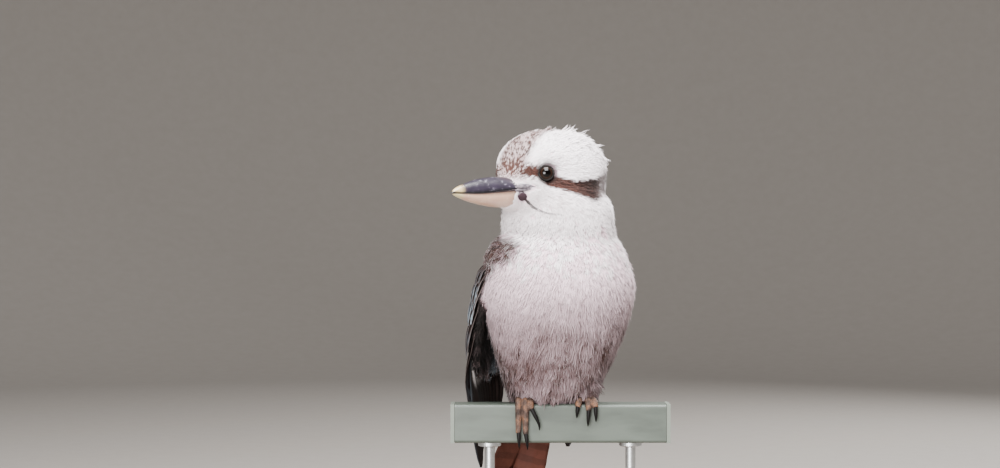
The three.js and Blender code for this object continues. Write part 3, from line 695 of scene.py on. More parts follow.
def plumage(name, barb, white):
    """Feather keratin in the colours of the markings, with a grain as wide as a barb."""
    made, tree, shader = material(
        name, Roughness=0.8, Specular_IOR_Level=0.1, Sheen_Weight=0.06, Sheen_Roughness=0.5,
        Subsurface_Weight=0.2, Subsurface_Radius=(1.0, 0.9, 0.85), Subsurface_Scale=2.5 * MM,
    )
    shade, _ = pigmented(tree, white)
    place = node(tree, "TexCoord")
    grain = node(tree, "TexNoise", {"Vector": place.outputs["Object"], "Scale": 1 / barb, "Detail": 3.0})
    value = node(tree, "MapRange", {"Value": grain.outputs["Fac"], "To Min": 0.93, "To Max": 1.06})
    varied = node(tree, "Mix", {0: 1.0, 6: shade, 7: value.outputs[0]}, **TIMES)
    wired(tree, shader, (grain.outputs["Fac"], 0.2, 0.2), Base_Color=varied.outputs[2])
    return made


body_plumage = plumage("keratin_contour_feathers", 1.2 * MM, "#f7d9e2")
head_plumage = plumage("keratin_head_feathers", 0.8 * MM, "#fcf2f4")


def set_pigment(mesh, masks):
    layer = mesh.attributes.new("pigment", "FLOAT_COLOR", "POINT")
    layer.data.foreach_set("color", np.ascontiguousarray(masks, np.float32).ravel())


set_pigment(skin_mesh, markings(skin_points, np.full(len(skin_points), 0.5)))

# %% [markdown]
# ## An unwrap for the feathers
# Each tuft gets a tiny patch on a map of the skin's own shape: the head as a globe with its poles at bill
# and nape, the body as one with its poles at neck and tail. A texture baked on that map then has
# neighbouring tufts side by side.

# %% Unwrap and lie
PATCH = 0.003  # the size of one tuft's patch, as a share of the map


def globe(points):
    """Where points of the bird lie on the unwrap of the skin."""
    head_side, head_back, head_up = within(points, HEAD).T
    x, y, z = within(points, BODY).T
    on_head = z > 146
    across = np.where(on_head, np.arctan2(head_side, head_up), np.arctan2(x, 4 - y)) / (2 * math.pi) + 0.5
    down = np.where(on_head, (head_back + 45) / 100, (150 - z) / 180)
    return np.stack([0.01 + 0.98 * across, np.clip(0.01 + 0.98 * down, 0, 1)], -1)


layer = skin_mesh.uv_layers.new(name="OFBake")
loops = np.empty(len(skin_mesh.loops), np.int32)
skin_mesh.loops.foreach_get("vertex_index", loops)
layer.uv.foreach_set("vector", globe(skin_points)[loops].astype(np.float32).ravel())
flesh = ["head", "neck", "torso", "leg_left", "leg_right"]
piece("skin", skin_mesh, body_plumage, flesh)

# %% [markdown]
# Feathers lie in currents. On the head they leave the bill's base and sweep back over crown and cheeks,
# then turn down the nape. On the body they run down, and round the belly towards the tail.

# %% Lie of the coat
BILL_ROOT = np.array([0, -43, -12])


def lie(points):
    """The direction in which feathers point at places on the bird, before it is laid on the surface."""
    head_place = within(points, HEAD)
    swept = unit(head_place - BILL_ROOT)
    swept[:, 2] -= 1.1 * ramp(head_place[:, 1], 8, 45) + 0.25
    x, _, z = within(points, BODY).T
    down = np.stack([0.006 * x * ramp(z, 0, 90), 0.2 + 0.9 * ramp(-z, -22, 10), -np.ones(len(z))], -1)
    share = ramp(z, 138, 160)[:, None]
    flow = unit(share * turned(swept, HEAD) + (1 - share) * turned(unit(down), BODY))
    stray = np.stack([clouds(points, 8), clouds(points + 0.05, 11), clouds(points - 0.05, 10)], -1) - 0.5
    return unit(flow + (1 - 0.75 * share) * stray)


def snapped(points):
    """The nearest places on the skin, and its normals there."""
    found = [skin_tree.find_nearest(p) for p in points]
    return np.array([f[0] for f in found]), np.array([f[1] for f in found])


# %% [markdown]
# ## Roots spread evenly
# Random roots would clump, and roots on mesh vertices would line up. So candidates are drawn at random
# over the skin's area and one is kept only if no kept neighbour is closer than the spacing there.

# %% Even roots
rng = np.random.default_rng(11)


def even_roots(count, spacing):
    """Roots over the whole skin, no closer together than spacing(points), in metres."""
    corners = skin_points[skin_faces]
    area = np.linalg.norm(np.cross(corners[:, 1] - corners[:, 0], corners[:, 2] - corners[:, 0]), axis=1)
    chosen = corners[rng.choice(len(area), count, p=area / area.sum())]
    a, b = rng.random((2, count))
    fold = a + b > 1
    a, b = np.where(fold, 1 - a, a), np.where(fold, 1 - b, b)
    corner, first, second = chosen[:, 0], chosen[:, 1], chosen[:, 2]
    spots = corner + a[:, None] * (first - corner) + b[:, None] * (second - corner)
    apart = spacing(spots)
    spots, apart = spots[np.isfinite(apart)], apart[np.isfinite(apart)]
    cell = apart.max()
    cells = np.floor(spots / cell).astype(int)
    kept = {}
    result = []
    around = [(i, j, k) for i in (-1, 0, 1) for j in (-1, 0, 1) for k in (-1, 0, 1)]
    for index, (spot, gap, (i, j, k)) in enumerate(zip(spots.tolist(), apart.tolist(), cells.tolist())):
        limit = gap * gap
        near = (other for di, dj, dk in around for other in kept.get((i + di, j + dj, k + dk), ()))
        if all(sum((p - q) ** 2 for p, q in zip(spot, other)) >= limit for other in near):
            kept.setdefault((i, j, k), []).append(spot)
            result.append(index)
    return spots[result]


# %% [markdown]
# ## Tufts
# A contour feather's end splits into soft points. Each tuft here is a fan of slim closed strands that
# share a root: every strand has a three-sided section, bends over the skin in two or three steps and ends
# in a point. All strands of a region are one mesh, made from arrays because there are tens of thousands.

# %% Tufts from arrays
def array_mesh(points, triangles, pigment, uv, facing=None):
    """A mesh from arrays, with its pigment masks and its OFBake map. A point's map place serves all its
    corners. facing gives the shading normals of soft strands, which light as the coat's surface does."""
    a, b, c = (points[triangles[:, k]] for k in range(3))
    if np.einsum("ij,ij->", a, np.cross(b, c)) < 0:
        triangles = triangles[:, ::-1]
    mesh = bpy.data.meshes.new("feathers")
    mesh.vertices.add(len(points))
    mesh.vertices.foreach_set("co", points.astype(np.float32).ravel())
    mesh.loops.add(triangles.size)
    mesh.loops.foreach_set("vertex_index", triangles.astype(np.int32).ravel())
    mesh.polygons.add(len(triangles))
    mesh.polygons.foreach_set("loop_start", np.arange(0, triangles.size, 3, dtype=np.int32))
    mesh.update(calc_edges=True)
    set_pigment(mesh, pigment)
    layer = mesh.uv_layers.new(name="OFBake")
    layer.uv.foreach_set("vector", uv[triangles.ravel()].astype(np.float32).ravel())
    if facing is not None:
        mesh.shade_smooth()
        mesh.normals_split_custom_set_from_vertices(facing.astype(np.float32))
    return mesh


def strand_faces(steps):
    """The triangles of one strand: rings of three points, a closed root and one point at the tip."""
    faces = [(0, 2, 1)]
    for row in range(steps - 1):
        for k in range(3):
            a, b = 3 * row + k, 3 * row + (k + 1) % 3
            faces += [(a, b, b + 3), (a, b + 3, a + 3)]
    tip = 3 * steps
    faces += [(3 * (steps - 1) + k, 3 * (steps - 1) + (k + 1) % 3, tip) for k in range(3)]
    return np.array(faces)


def spines(roots, length, steps, flow_at):
    """Each tuft's course over the skin: its points, the normals and the directions across."""
    place, normal = snapped(roots)
    points, normals, across = [], [], []
    for step in range(steps + 1):
        flow = flow_at(place)
        flow = unit(flow - normal * np.sum(flow * normal, axis=1, keepdims=True))
        points.append(place)
        normals.append(normal)
        across.append(np.cross(normal, flow))
        ahead = place + flow * (length / steps)[:, None]
        if step < steps:
            place, normal = snapped(ahead)
            normal = unit(0.5 * normals[-1] + 0.5 * normal)
    return (np.stack(v, 1) for v in (points, normals, across))


TUFT_PARTS = [0, 0.5, 1]  # root, middle and tip of a tuft
FAN = [0.4, 0.9, 1.15]  # how far its strands spread there, as a share of its width
RISE = [-0.25, 0.62, 1.0]  # and how high they lie, as a share of the tip's height
TAPER_AT, TAPER = [0, 0.5, 0.8, 1], [0.6, 0.75, 0.5, 0]  # a strand's width along its length
SPLAY = 0.95  # how far a strand's sides shade away from the coat's surface


def fanned(course, size, strands, share, fluff):
    """The points of each tuft's strands, spread over its course, and the normals that they shade by."""
    points, normals, across = course
    length, width, height = size
    count, steps = len(length), len(share) - 1
    offset = np.linspace(-1, 1, strands)
    fan = np.interp(share, TUFT_PARTS, FAN)
    wander = rng.normal(0, 0.16, (count, strands))[..., None] * share
    sideways = (offset[None, :, None] * fan + wander) * width[:, None, None] / 2
    rise = np.interp(share, TUFT_PARTS, RISE)
    tall = height[:, None, None] * (1 + rng.normal(0, fluff, (count, strands))[..., None] * share)
    tall = tall * rise - 0.12 * width[:, None, None] * (offset**2)[None, :, None]
    centre = points[:, None] + across[:, None] * sideways[..., None] + normals[:, None] * tall[..., None]
    reach = rng.uniform(-0.28, 0.12, (count, strands)) * length[:, None]
    ahead = unit(points[:, -1] - points[:, -2])
    centre[:, :, -1] += ahead[:, None] * (reach - 0.1 * length[:, None] * offset**2)[..., None]
    half = width / strands * np.interp(share, TAPER_AT, TAPER)[:, None]
    half = half.T[:, None, :, None] * across[:, None]
    thick = (width / strands * 0.4)[:, None, None, None] * normals[:, None]
    rings = np.stack([centre - half, centre + half, centre + thick], 3)[:, :, :-1]
    rings = rings.reshape(count, strands, steps * 3, 3)
    body = np.concatenate([rings, centre[:, :, -1:]], 2)
    skin_way = normals[:, None, :-1, None]
    side_way = across[:, None, :-1, None] * np.array([-SPLAY, SPLAY, 0])[:, None]
    facing = unit(np.broadcast_to(skin_way + side_way, (count, strands, steps, 3, 3)))
    facing = facing.reshape(count, strands, -1, 3)
    facing = np.concatenate([facing, np.broadcast_to(normals[:, None, -1:], (count, strands, 1, 3))], 2)
    return body, facing


def tuft_masks(points, chance, strands, along, marks_at):
    """Each ring takes the marks of its own place on the bird, a little darker towards the root as painted
    shade deep in the coat.
    """
    masks = np.stack([marks_at(ring, chance) for ring in np.moveaxis(points, 1, 0)], 1)
    masks = np.concatenate([np.repeat(masks[:, :-1], 3, axis=1), masks[:, -1:]], 1)[:, None]
    # Brown, and a little near black, added towards the root: painted shade deep in the coat.
    depth = 0.14 * (1 - along)[None, None, :, None] * np.array([1, 0.3, 0, 0])
    flick = rng.uniform(-0.04, 0.05, (len(chance), strands, 1, 1)) * np.array([1, 0, 0, 0])
    return np.clip(masks + depth + flick, 0, 1)


def tuft_patches(roots, strands, steps, along):
    """The bake map of the tufts: a small patch for each at its root's place, with its strands abreast."""
    offset = np.linspace(-1, 1, strands)
    patch_u = np.append(np.tile([-0.2, 0.2, 0], steps), 0) + offset[:, None] * 0.35
    patch = np.stack(np.broadcast_arrays(patch_u, along - 0.5), -1)
    return np.clip(globe(roots)[:, None, None] + PATCH * patch, 0, 1)


def tufts(roots, size, strands, steps, fluff=0.35, flow_at=lie, marks_at=markings):
    """A coat mesh. Size gives each tuft's length, width and the height of its tip, in metres."""
    length, width, height = size(roots)
    length = length * rng.uniform(0.82, 1.15, len(roots))
    chance = rng.random(len(roots))
    course = tuple(spines(roots, length, steps, flow_at))
    share = np.linspace(0, 1, steps + 1)
    along = np.append(np.repeat(share[:-1], 3), 1)
    body, facing = fanned(course, (length, width, height), strands, share, fluff)
    starts = (np.arange(len(roots) * strands) * len(along))[:, None, None]
    triangles = (strand_faces(steps)[None] + starts).reshape(-1, 3)
    pigment = tuft_masks(course[0], chance, strands, along, marks_at).reshape(-1, 4)
    uv = tuft_patches(roots, strands, steps, along).reshape(-1, 2)
    return array_mesh(body.reshape(-1, 3), triangles, pigment, uv, facing.reshape(-1, 3))


# %% [markdown]
# ## The coat of the body
# The breast's feathers are long and downy, so they hide their own roots and read as soft fur. The
# mantle's are shorter, because vaned feathers lie over them. Sizes blend from the neck down to the belly.

# %% Body coat
COAT_HEIGHTS = [-20, 10, 60, 120, 150]
COAT_SIZES = [  # the tufts' length, width and height at each of these heights
    [14, 15, 12, 10, 8.5],
    [5.5, 6, 5.5, 4.6, 3.6],
    [2.4, 3.0, 3.0, 2.8, 2.4],
]


def body_size(points):
    z = within(points, PERCH)[:, 2]
    return [np.interp(z, COAT_HEIGHTS, sizes) * MM for sizes in COAT_SIZES]


def on_head(points):
    local = within(points, HEAD)
    return within(points, PERCH)[:, 2] + 0.09 * local[:, 1] > 145


def body_spacing(points):
    z = within(points, PERCH)[:, 2]
    gap = np.interp(z, [-20, 60, 120, 150], [2.8, 2.45, 2.25, 1.9]) * MM
    return np.where(on_head(points), np.inf, gap)


body_roots = even_roots(60000, body_spacing)
x, y, z = within(body_roots, BODY).T
behind = np.degrees(np.arctan2(np.abs(x), y - 4))
on_neck = z > rng.uniform(100, 142, len(z))  # the two whites mingle where neck and breast meet
REGIONS = {
    "neck_feathers": (on_neck, head_plumage, "head_plumage"),
    "breast_feathers": (~on_neck & (z > 66) & (behind > 75), body_plumage, "body_plumage"),
    "belly_feathers": (~on_neck & (z <= 66) & (behind > 75), body_plumage, "body_plumage"),
    "back_feathers": (~on_neck & (behind <= 75), body_plumage, "body_plumage"),
}
for name, (mask, finish, slot) in REGIONS.items():
    piece(name, tufts(body_roots[mask], body_size, 7, 2), finish)

# %% [markdown]
# At the belly's hem loose down hangs over the toes in wisps. They are longer than the coat and stand off
# it.

# %% Hem of the belly
HEM = {"strands": 4, "steps": 3, "share": 0.3}


def hem_size(points):
    return [np.full(len(points), value * MM) for value in (15, 3.4, 5.5)]


hem = (z > 0) & (z < 24) & (behind > 80) & (rng.random(len(z)) < HEM["share"])
hem_mesh = tufts(body_roots[hem], hem_size, HEM["strands"], HEM["steps"], 0.4)
piece("hem_feathers", hem_mesh, body_plumage)

# %% [markdown]
# ## The coat of the head
# Head feathers are the finest on the bird: a few millimetres at the bill, where they are almost bristles,
# and longest on the rear crown, where the photograph shows them standing out in ragged points.

# %% Head coat
def head_size(points):
    side, back, up = within(points, HEAD).T
    face = ramp(-back, 14, 40)
    rear = ramp(back, 0, 34) * ramp(up, 2, 20)
    near_eye = ramp(15 - from_eye(side, -back, up), 0, 5)
    scale = (1 - 0.45 * face - 0.2 * ramp(-back, 38, 44)) * (1 - 0.45 * near_eye) * (1 + 0.45 * rear)
    height = 1.7 * (1 - 0.5 * face) * (1 - 0.4 * near_eye) + 1.6 * rear
    return 8 * MM * scale, 2.6 * MM * scale, height * MM


def head_spacing(points):
    side, back, up = within(points, HEAD).T
    length = head_size(points)[0]
    gap = 0.19 * length
    bare = (from_eye(side, -back, up) < EYE_RADIUS + 0.8) | (bare_face(points) > 0.5)
    return np.where(on_head(points) & ~bare, gap, np.inf)


head_roots = even_roots(90000, head_spacing)
side, back, up = within(head_roots, HEAD).T
REGIONS = {
    "crown_feathers": up > 8,
    "face_feathers": (up <= 8) & (back < 4),
    "nape_feathers": (up <= 8) & (back >= 4),
}
for name, mask in REGIONS.items():
    piece(name, tufts(head_roots[mask], head_size, 5, 2, 0.3), head_plumage)

# %% [markdown]
# The crest is loose feathers at the back of the crown that stand out a few millimetres as pointed tufts.
# A row of short tufts, near black, curves down over the cheek from the corner of the mouth: painted shadow
# of the crease where the throat's skin folds.

# %% Crest and painted fold shadow
def crest_size(points):
    lift = 3.0 + 2.8 * ramp(within(points, HEAD)[:, 1], -5, 28)
    return np.full(len(points), 10.5 * MM), np.full(len(points), 2.8 * MM), lift * MM


loose = (np.abs(side) < 33) & (back > -8) & (back < 33) & (up > 13) & (rng.random(len(side)) < 0.17)
crest = tufts(head_roots[loose], crest_size, 4, 3, 0.45)
piece("crest_feathers", crest, head_plumage)

FOLD_SHADOW_PATH = track([
    [12.6, 37, -19.2],
    [13.5, 34, -20.5],
    [16.5, 32, -24.5],
    [20.5, 30, -27.3],
    [25.5, 27, -29.6],
    [30.5, 24, -30.8],
    [35.5, 21, -31.3],
])
FOLD_SHADOW_COUNT = 38


def fold_shadow_size(points):
    fade = 1 - 0.45 * np.linspace(0, 1, len(points))
    return 6 * MM * fade, 1.3 * MM * fade, np.full(len(points), 1.8 * MM)


# Near black, fading along the row: painted shadow of the skin's fold.
def fold_shadow_marks(points, chance):
    fade = 1 - 0.5 * np.linspace(0, 1, len(points))
    return np.stack([0.6 * fade, 0.85 * fade, 0 * fade, 0 * fade], -1)


for name, sign in [("left", 1), ("right", -1)]:
    course = FOLD_SHADOW_PATH(np.linspace(0, 1, FOLD_SHADOW_COUNT)) * [sign, -1, 1]
    heading = turned(unit(np.gradient(course, axis=0)), HEAD)
    roots = snapped(placed(course, HEAD))[0]
    fold_shadow_tufts = tufts(roots, fold_shadow_size, 2, 2, 0.2, lambda at, way=heading: way, fold_shadow_marks)
    piece(f"bristles_{name}", fold_shadow_tufts, head_plumage)

# %% [markdown]
# ## Vaned feathers
# A flight feather or covert is a vane: two webs of barbs on a shaft, a little arched. Each one here is a
# closed thin slab that follows a guide surface. Its edge is slightly ragged, the shaft is a low ridge,
# and two maps ride with it: where a point lies on the vane, for the barbs, and its own cell of the bake
# map.

# %% Vanes from arrays
def slab_faces(rows, columns):
    """The triangles of a closed slab: a grid above, the same below, and the rim between them."""
    def at(i, j, low):
        return (low * (rows + 1) + i) * (columns + 1) + j

    faces = []
    for i in range(rows):
        for j in range(columns):
            a, b, c, d = at(i, j, 0), at(i, j + 1, 0), at(i + 1, j + 1, 0), at(i + 1, j, 0)
            below = (rows + 1) * (columns + 1)
            faces += [(a, b, c), (a, c, d)]
            faces += [(a + below, c + below, b + below), (a + below, d + below, c + below)]
    rim = [(0, j) for j in range(columns)] + [(i, columns) for i in range(rows)]
    rim += [(rows, j) for j in range(columns, 0, -1)] + [(i, 0) for i in range(rows, 0, -1)]
    for (i, j), (k, m) in zip(rim, rim[1:] + rim[:1]):
        a, b, c, d = at(i, j, 0), at(k, m, 0), at(k, m, 1), at(i, j, 1)
        faces += [(a, c, b), (a, d, c)]
    return np.array(faces)


def outline(share, root, blunt):
    """Half the width of a feather at a share of its length, as a share of its widest."""
    swell = root + (1 - root) * ramp(share, 0, 0.45)
    tip = np.clip((share - blunt) / (1 - blunt), 0, 1)
    return np.where(share < blunt, swell, np.maximum(0.04, (1 - tip**2.2)) ** (1 / 2.2))


RAGGED, TORN = 0.05, 0.16  # how far barbs end short along an edge, and where a web has split
TORN_SHARE = 0.06
SHAFT = 0.18  # the height of a shaft's ridge in mm


def vane_slabs(s, share, side, thick):
    """The points of one set's feathers, their places on the vane for the barbs, and their masks."""
    start, end = np.array(s["start"], float), np.array(s["end"], float)
    count = len(start)
    a = start[:, None, 0] + (end - start)[:, None, 0] * share
    b = start[:, None, 1] + (end - start)[:, None, 1] * share
    nudge = 0.004
    point = s["surface"](a, b)
    ahead = unit(s["surface"](a + nudge, b) - s["surface"](a - nudge, b))
    across = unit(s["surface"](a, b + nudge) - s["surface"](a, b - nudge))
    normal = unit(np.cross(ahead, across)) * s["outward"]
    rise = np.broadcast_to(np.asarray(s["lift"], float), (count,))[:, None]
    height = (-s["sink"] + (rise + s["sink"]) * ramp(share, 0, 0.7)) * MM
    edge = (count, len(share), 2)
    ragged = 1 - rng.uniform(0, RAGGED, edge) - TORN * (rng.random(edge) > 1 - TORN_SHARE)
    half = s["width"] / 2 * MM * outline(share, s.get("root", 0.5), s.get("blunt", 0.6))
    half = half[None, :, None] * np.where(side < 0, ragged[..., :1], ragged[..., 1:]) * np.abs(side)
    reach = np.sign(side) * half
    tilt = math.radians(s.get("tilt", 0))
    widest = half.max(-1, keepdims=True)
    arch = s.get("arch", 0.12) * (widest - half**2 / np.maximum(widest, 1e-9))
    lifted = height[..., None] + reach * math.sin(tilt) + arch + SHAFT * MM * (np.abs(side) < 0.01)
    grid = point[:, :, None] + across[:, :, None] * (reach * math.cos(tilt))[..., None]
    grid = grid + normal[:, :, None] * lifted[..., None]
    web = thick * (1 - 0.6 * np.abs(side)) / 2
    web = web[None, None, :, None] * normal[:, :, None]
    length = np.linalg.norm(np.diff(point, axis=1), axis=2).sum(1)
    along = length[:, None, None] * share[None, :, None]
    order = rng.random(count)[:, None, None]
    place = np.stack(np.broadcast_arrays(reach, along, order), -1)
    mark = s["marks"](share[None, :, None], side[None, None], np.arange(count)[:, None, None], order)
    mark = np.broadcast_to(mark, (*place.shape[:-1], 4))
    both_sides = (np.repeat(values[:, None], 2, 1) for values in (place, mark))
    return np.stack([grid + web, grid - web], 1), *both_sides


def vane_cells(count, share, side):
    """The bake map of the feathers: a square cell for each, with its upper and lower face side by side."""
    cells = math.ceil(math.sqrt(count))
    corner = np.stack([np.arange(count) % cells, np.arange(count) // cells], -1) / cells
    upper = np.stack(np.broadcast_arrays(0.25 + 0.2 * side[None], 0.1 + 0.8 * share[:, None]), -1)
    lower = upper + np.array([0.5, 0])
    return corner[:, None, None, None] + np.stack([upper, lower])[None] / cells


def vanes(sets, rows=14, columns=6, thick=0.35 * MM):
    """A mesh of vanes. Each set has a surface, starts, ends, width, sink, lift and marks."""
    share = 1 - (1 - np.linspace(0, 1, rows + 1)) ** 1.35
    side = np.linspace(-1, 1, columns + 1)
    slabs = [vane_slabs(s, share, side, thick) for s in sets]
    grid, place, mark = (np.concatenate(parts) for parts in zip(*slabs))
    per = 2 * (rows + 1) * (columns + 1)
    starts = (np.arange(len(grid)) * per)[:, None, None]
    triangles = (slab_faces(rows, columns)[None] + starts).reshape(-1, 3)
    mark = np.clip(mark, 0, 1).reshape(-1, 4)
    uv = vane_cells(len(grid), share, side)
    mesh = array_mesh(grid.reshape(-1, 3), triangles, mark, uv.reshape(-1, 2))
    layer = mesh.attributes.new("vane", "FLOAT_VECTOR", "POINT")
    layer.data.foreach_set("vector", np.ascontiguousarray(place.reshape(-1, 3), np.float32).ravel())
    return mesh


# %% [markdown]
# ## The vane material
# Barbs leave the shaft at a slant, so a vane catches light in fine slanting lines. The lines are drawn
# about three times as coarse as real barbs, because real ones are too fine for the render. Tail feathers
# add bars across the shaft, a little wavy, as wide as the real ones.

# %% Vane material
def vane_keratin(name, barb, bars=None):
    """Feather webs with slanting barbs, and bars of a period, a share and a colour where asked for."""
    made, tree, shader = material(name, Roughness=0.6, Specular_IOR_Level=0.15)
    shade, masks = pigmented(tree, WHITE)
    spot = node(tree, "Attribute", attribute_name="vane")
    part = node(tree, "SeparateXYZ", {"Vector": spot.outputs["Vector"]})
    away = node(tree, "Math", {0: part.outputs["X"]}, operation="ABSOLUTE")
    slant = node(tree, "Math", {0: part.outputs["Y"], 1: away.outputs[0]}, operation="SUBTRACT")
    turn = node(tree, "Math", {0: slant.outputs[0], 1: 2 * math.pi / barb}, operation="MULTIPLY")
    ridge = node(tree, "Math", {0: turn.outputs[0]}, operation="SINE")
    if bars:
        period, share, ink = bars
        wobble = node(tree, "TexNoise", {"Vector": spot.outputs["Vector"], "Scale": 1 / (6 * MM)})
        drifting = {0: wobble.outputs["Fac"], 1: 3 * MM, 2: part.outputs["Y"]}
        drift = node(tree, "Math", drifting, operation="MULTIPLY_ADD")
        beat = node(tree, "Math", {0: drift.outputs[0], 1: 2 * math.pi / period}, operation="MULTIPLY")
        wave = node(tree, "Math", {0: beat.outputs[0]}, operation="SINE")
        edge = 1 - 2 * share
        band = node(tree, "MapRange", {"Value": wave.outputs[0], "From Min": edge, "From Max": edge + 0.3})
        inside = node(tree, "Math", {0: band.outputs[0], 1: masks[RUFOUS]}, operation="MULTIPLY")
        shade = node(tree, "Mix", {0: inside.outputs[0], 6: shade, 7: colour(ink)}, **MIXED).outputs[2]
    place = node(tree, "TexCoord")
    stain = {"Vector": place.outputs["Object"], "Scale": 1 / (4 * MM), "Detail": 4.0}
    grain = node(tree, "TexNoise", stain)
    value = node(tree, "MapRange", {"Value": grain.outputs["Fac"], "To Min": 0.75, "To Max": 1.2})
    varied = node(tree, "Mix", {0: 1.0, 6: shade, 7: value.outputs[0]}, **TIMES)
    wired(tree, shader, (ridge.outputs[0], 0.5, 0.12), Base_Color=varied.outputs[2])
    return made


wing_keratin = vane_keratin("keratin_wing_vanes", 0.9 * MM)
tail_keratin = vane_keratin("keratin_tail_vanes", 0.9 * MM, bars=(13 * MM, 0.5, "#0f0b0a"))

# %% [markdown]
# ## Wings
# A folded wing shows tiers of feathers like roof tiles: primaries and secondaries lowest and longest,
# then greater, median and lesser coverts up to the shoulder. The laughing kookaburra's are dark brown,
# near black on the primaries, with pale blue mottling on the coverts and white at the primaries' bases.

# %% Wing tiers
def unmarked(*parts):
    """Empty masks for every point of a set of vanes."""
    return np.zeros((*np.broadcast_shapes(*(part.shape for part in parts)), 4))


def plain(brown, dark, tipped=0.0, blue=0.0):
    """Marks of a brown feather: darker along the shaft, pale at the rim, and blue on its outer half."""

    def marks(share, side, number, order):
        made = unmarked(share, side, number, order)
        rim = ramp(np.abs(side), 0.75, 1) + ramp(share, 0.9, 1)
        made[..., BROWN] = brown - tipped * np.clip(rim, 0, 1)
        made[..., DARK] = dark * (1 - 0.5 * rim) + 0.15 * order
        spangle = rng.random(made.shape[:-1]) < 0.55
        made[..., BLUE] = blue * spangle * ramp(share, 0.4, 0.75) * (1 - 0.6 * ramp(np.abs(side), 0, 0.9))
        return made

    return marks


def primaries(share, side, number, order):
    made = unmarked(share, side, number, order)
    base = ramp(0.3 - share, -0.03, 0.05) * ramp(side, -0.2, 0.3)
    made[..., BROWN] = 1 - base
    made[..., DARK] = 0.85 * (1 - base)
    made[..., BLUE] = 0.1 * ramp(-side, 0.4, 0.9) * (1 - base)
    return made


# Marks, count, root and tip along the wing, spread of the roots and of the tips across it, width and lift.
TIERS = [
    (primaries, 9, (0.46, 0.42), (1.0, 0.82), (-0.6, 0.3), (-0.6, 0.6), 13, (0.4, 1.8)),
    (plain(1, 0.6, 0.06, 0.12), 11, (0.4, 0.36), (0.76, 0.62), (-0.8, 0.85), (-0.78, 0.93), 14.5,
     (1.4, 2.4)),
    (plain(1, 0.5, 0.1, 0.2), 12, (0.26, 0.26), (0.5, 0.47), (-0.8, 0.84), (-0.86, 0.9), 12, (2.4, 3.0)),
    (plain(1, 0.4, 0.12, 0.8), 12, (0.17, 0.17), (0.37, 0.35), (-0.82, 0.82), (-0.88, 0.88), 11.5,
     (2.8, 3.3)),
    (plain(1, 0.4, 0.1, 0.55), 12, (0.11, 0.12), (0.28, 0.27), (-0.8, 0.8), (-0.86, 0.86), 11, (2.6, 2.8)),
    (plain(1, 0.35, 0.06, 0.2), 11, (0.07, 0.08), (0.21, 0.2), (-0.72, 0.76), (-0.8, 0.84), 11, (2.0, 2.2)),
]


def between(pair, share):
    return pair[0] + (pair[1] - pair[0]) * share


for name, (side, *_) in WINGS.items():
    sets = []
    for marks, count, root, end, spread, fan, width, lift in TIERS:
        share = np.linspace(0, 1, count)
        jitter = rng.normal(0, 0.008, (2, count))
        sets.append({
            "surface": lambda a, b, name=name: wing_surface(name, a, b),
            "start": np.stack([between(root, share), between(spread, share)], -1),
            "end": np.stack([between(end, share) + jitter[0], between(fan, share) + jitter[1]], -1),
            "width": width,
            "sink": 2.0,
            "lift": between(lift, share),
            "tilt": -10,
            "outward": side,
            "marks": marks,
        })
    piece(f"wing_feathers_{name}", vanes(sets), wing_keratin, [f"wing_{name}"])

# %% [markdown]
# ## Mantle and scapulars
# The feathers of the upper back lie over the shoulders and close the gap between the wings.

# %% Mantle
# Height, place along the back, half width and reach to the back of the guide surface under the mantle.
MANTLE = track([
    [144, 1, 40, 37],
    [132, 2, 49, 45],
    [118, 3, 58, 51],
    [104, 4, 62, 54],
    [90, 6, 64, 55],
    [76, 8, 64, 55],
    [62, 10, 62, 54],
    [48, 12, 59, 52],
])


def mantle_surface(along, across):
    height, back, width, rear = np.moveaxis(MANTLE(along), -1, 0)
    angle = np.asarray(across, float) * math.radians(70)
    wide = width + 1.5 * ramp(-across, 0, 0.8)
    return placed(np.stack([wide * np.sin(angle), back + rear * np.cos(angle), height], -1), BODY)


# Each row's roots down the back, number of feathers, their width and how far round the sides they reach.
MANTLE_ROWS = [
    (0.5, 7, 16, 0.85),
    (0.4, 8, 15, 0.85),
    (0.3, 9, 14, 0.8),
    (0.2, 9, 13, 0.7),
    (0.1, 9, 12, 0.55),
    (0.01, 9, 11, 0.5),
]
sets = []
for row, (at, count, width, reach) in enumerate(MANTLE_ROWS):
    share = np.linspace(-1, 1, count) + (0.5 / count if row % 2 else 0)
    sets.append({
        "surface": mantle_surface,
        "start": np.stack([at + 0.03 * share**2, share * reach * 0.86], -1),
        "end": np.stack([at + 0.3 - 0.07 * share**2 + rng.normal(0, 0.01, count), share * reach], -1),
        "width": width,
        "sink": 2,
        "lift": 1.2 + 0.3 * row,
        "tilt": 0,
        "outward": -1,
        "marks": plain(0.97, 0.35, 0.05),
    })
piece("mantle_feathers", vanes(sets), wing_keratin)

# %% [markdown]
# ## Tail
# Six pairs of tail feathers close like a fan, the middle pair on top. They are rufous with dark bars over
# brown, which is partly their own colour and partly painted shade of the underside, most on the outer pairs
# that lie lowest, and the outer ones end in white. Coverts hide their roots above and below.

# %% Tail
PAIRS = 6
TAIL_STEP = 1.4  # how far each pair lies under the one above


def tail_feather(pair, side):
    length = TAIL_LENGTH - 1.1 * pair * pair
    outer = 15 + 11 * math.sin(pair / PAIRS * 1.5)

    def surface(along, across):
        share = np.asarray(along, float)
        wide = outer * (0.26 + 0.74 * ramp(share, 0, 0.7))
        left = 0.2 + wide / 2 + across * side * (wide / 2 - 0.05)
        return tail_point(length * share - 6, side * left, -pair * TAIL_STEP - 0.012 * left * left - 1.5)

    def marks(share, across, number, order):
        made = unmarked(share, across, number, order)
        tip = ramp(share, 0.88, 0.93)
        # Brown under the rufous, and less rufous on the lower pairs, is partly painted shade of the tail's
        # underside.
        underside_shade = 0.6 * pair / (PAIRS - 1)
        made[..., RUFOUS] = (1 - tip) * (0.5 - 0.4 * underside_shade)
        made[..., BROWN] = 1 - tip
        return made

    return surface, marks, outer


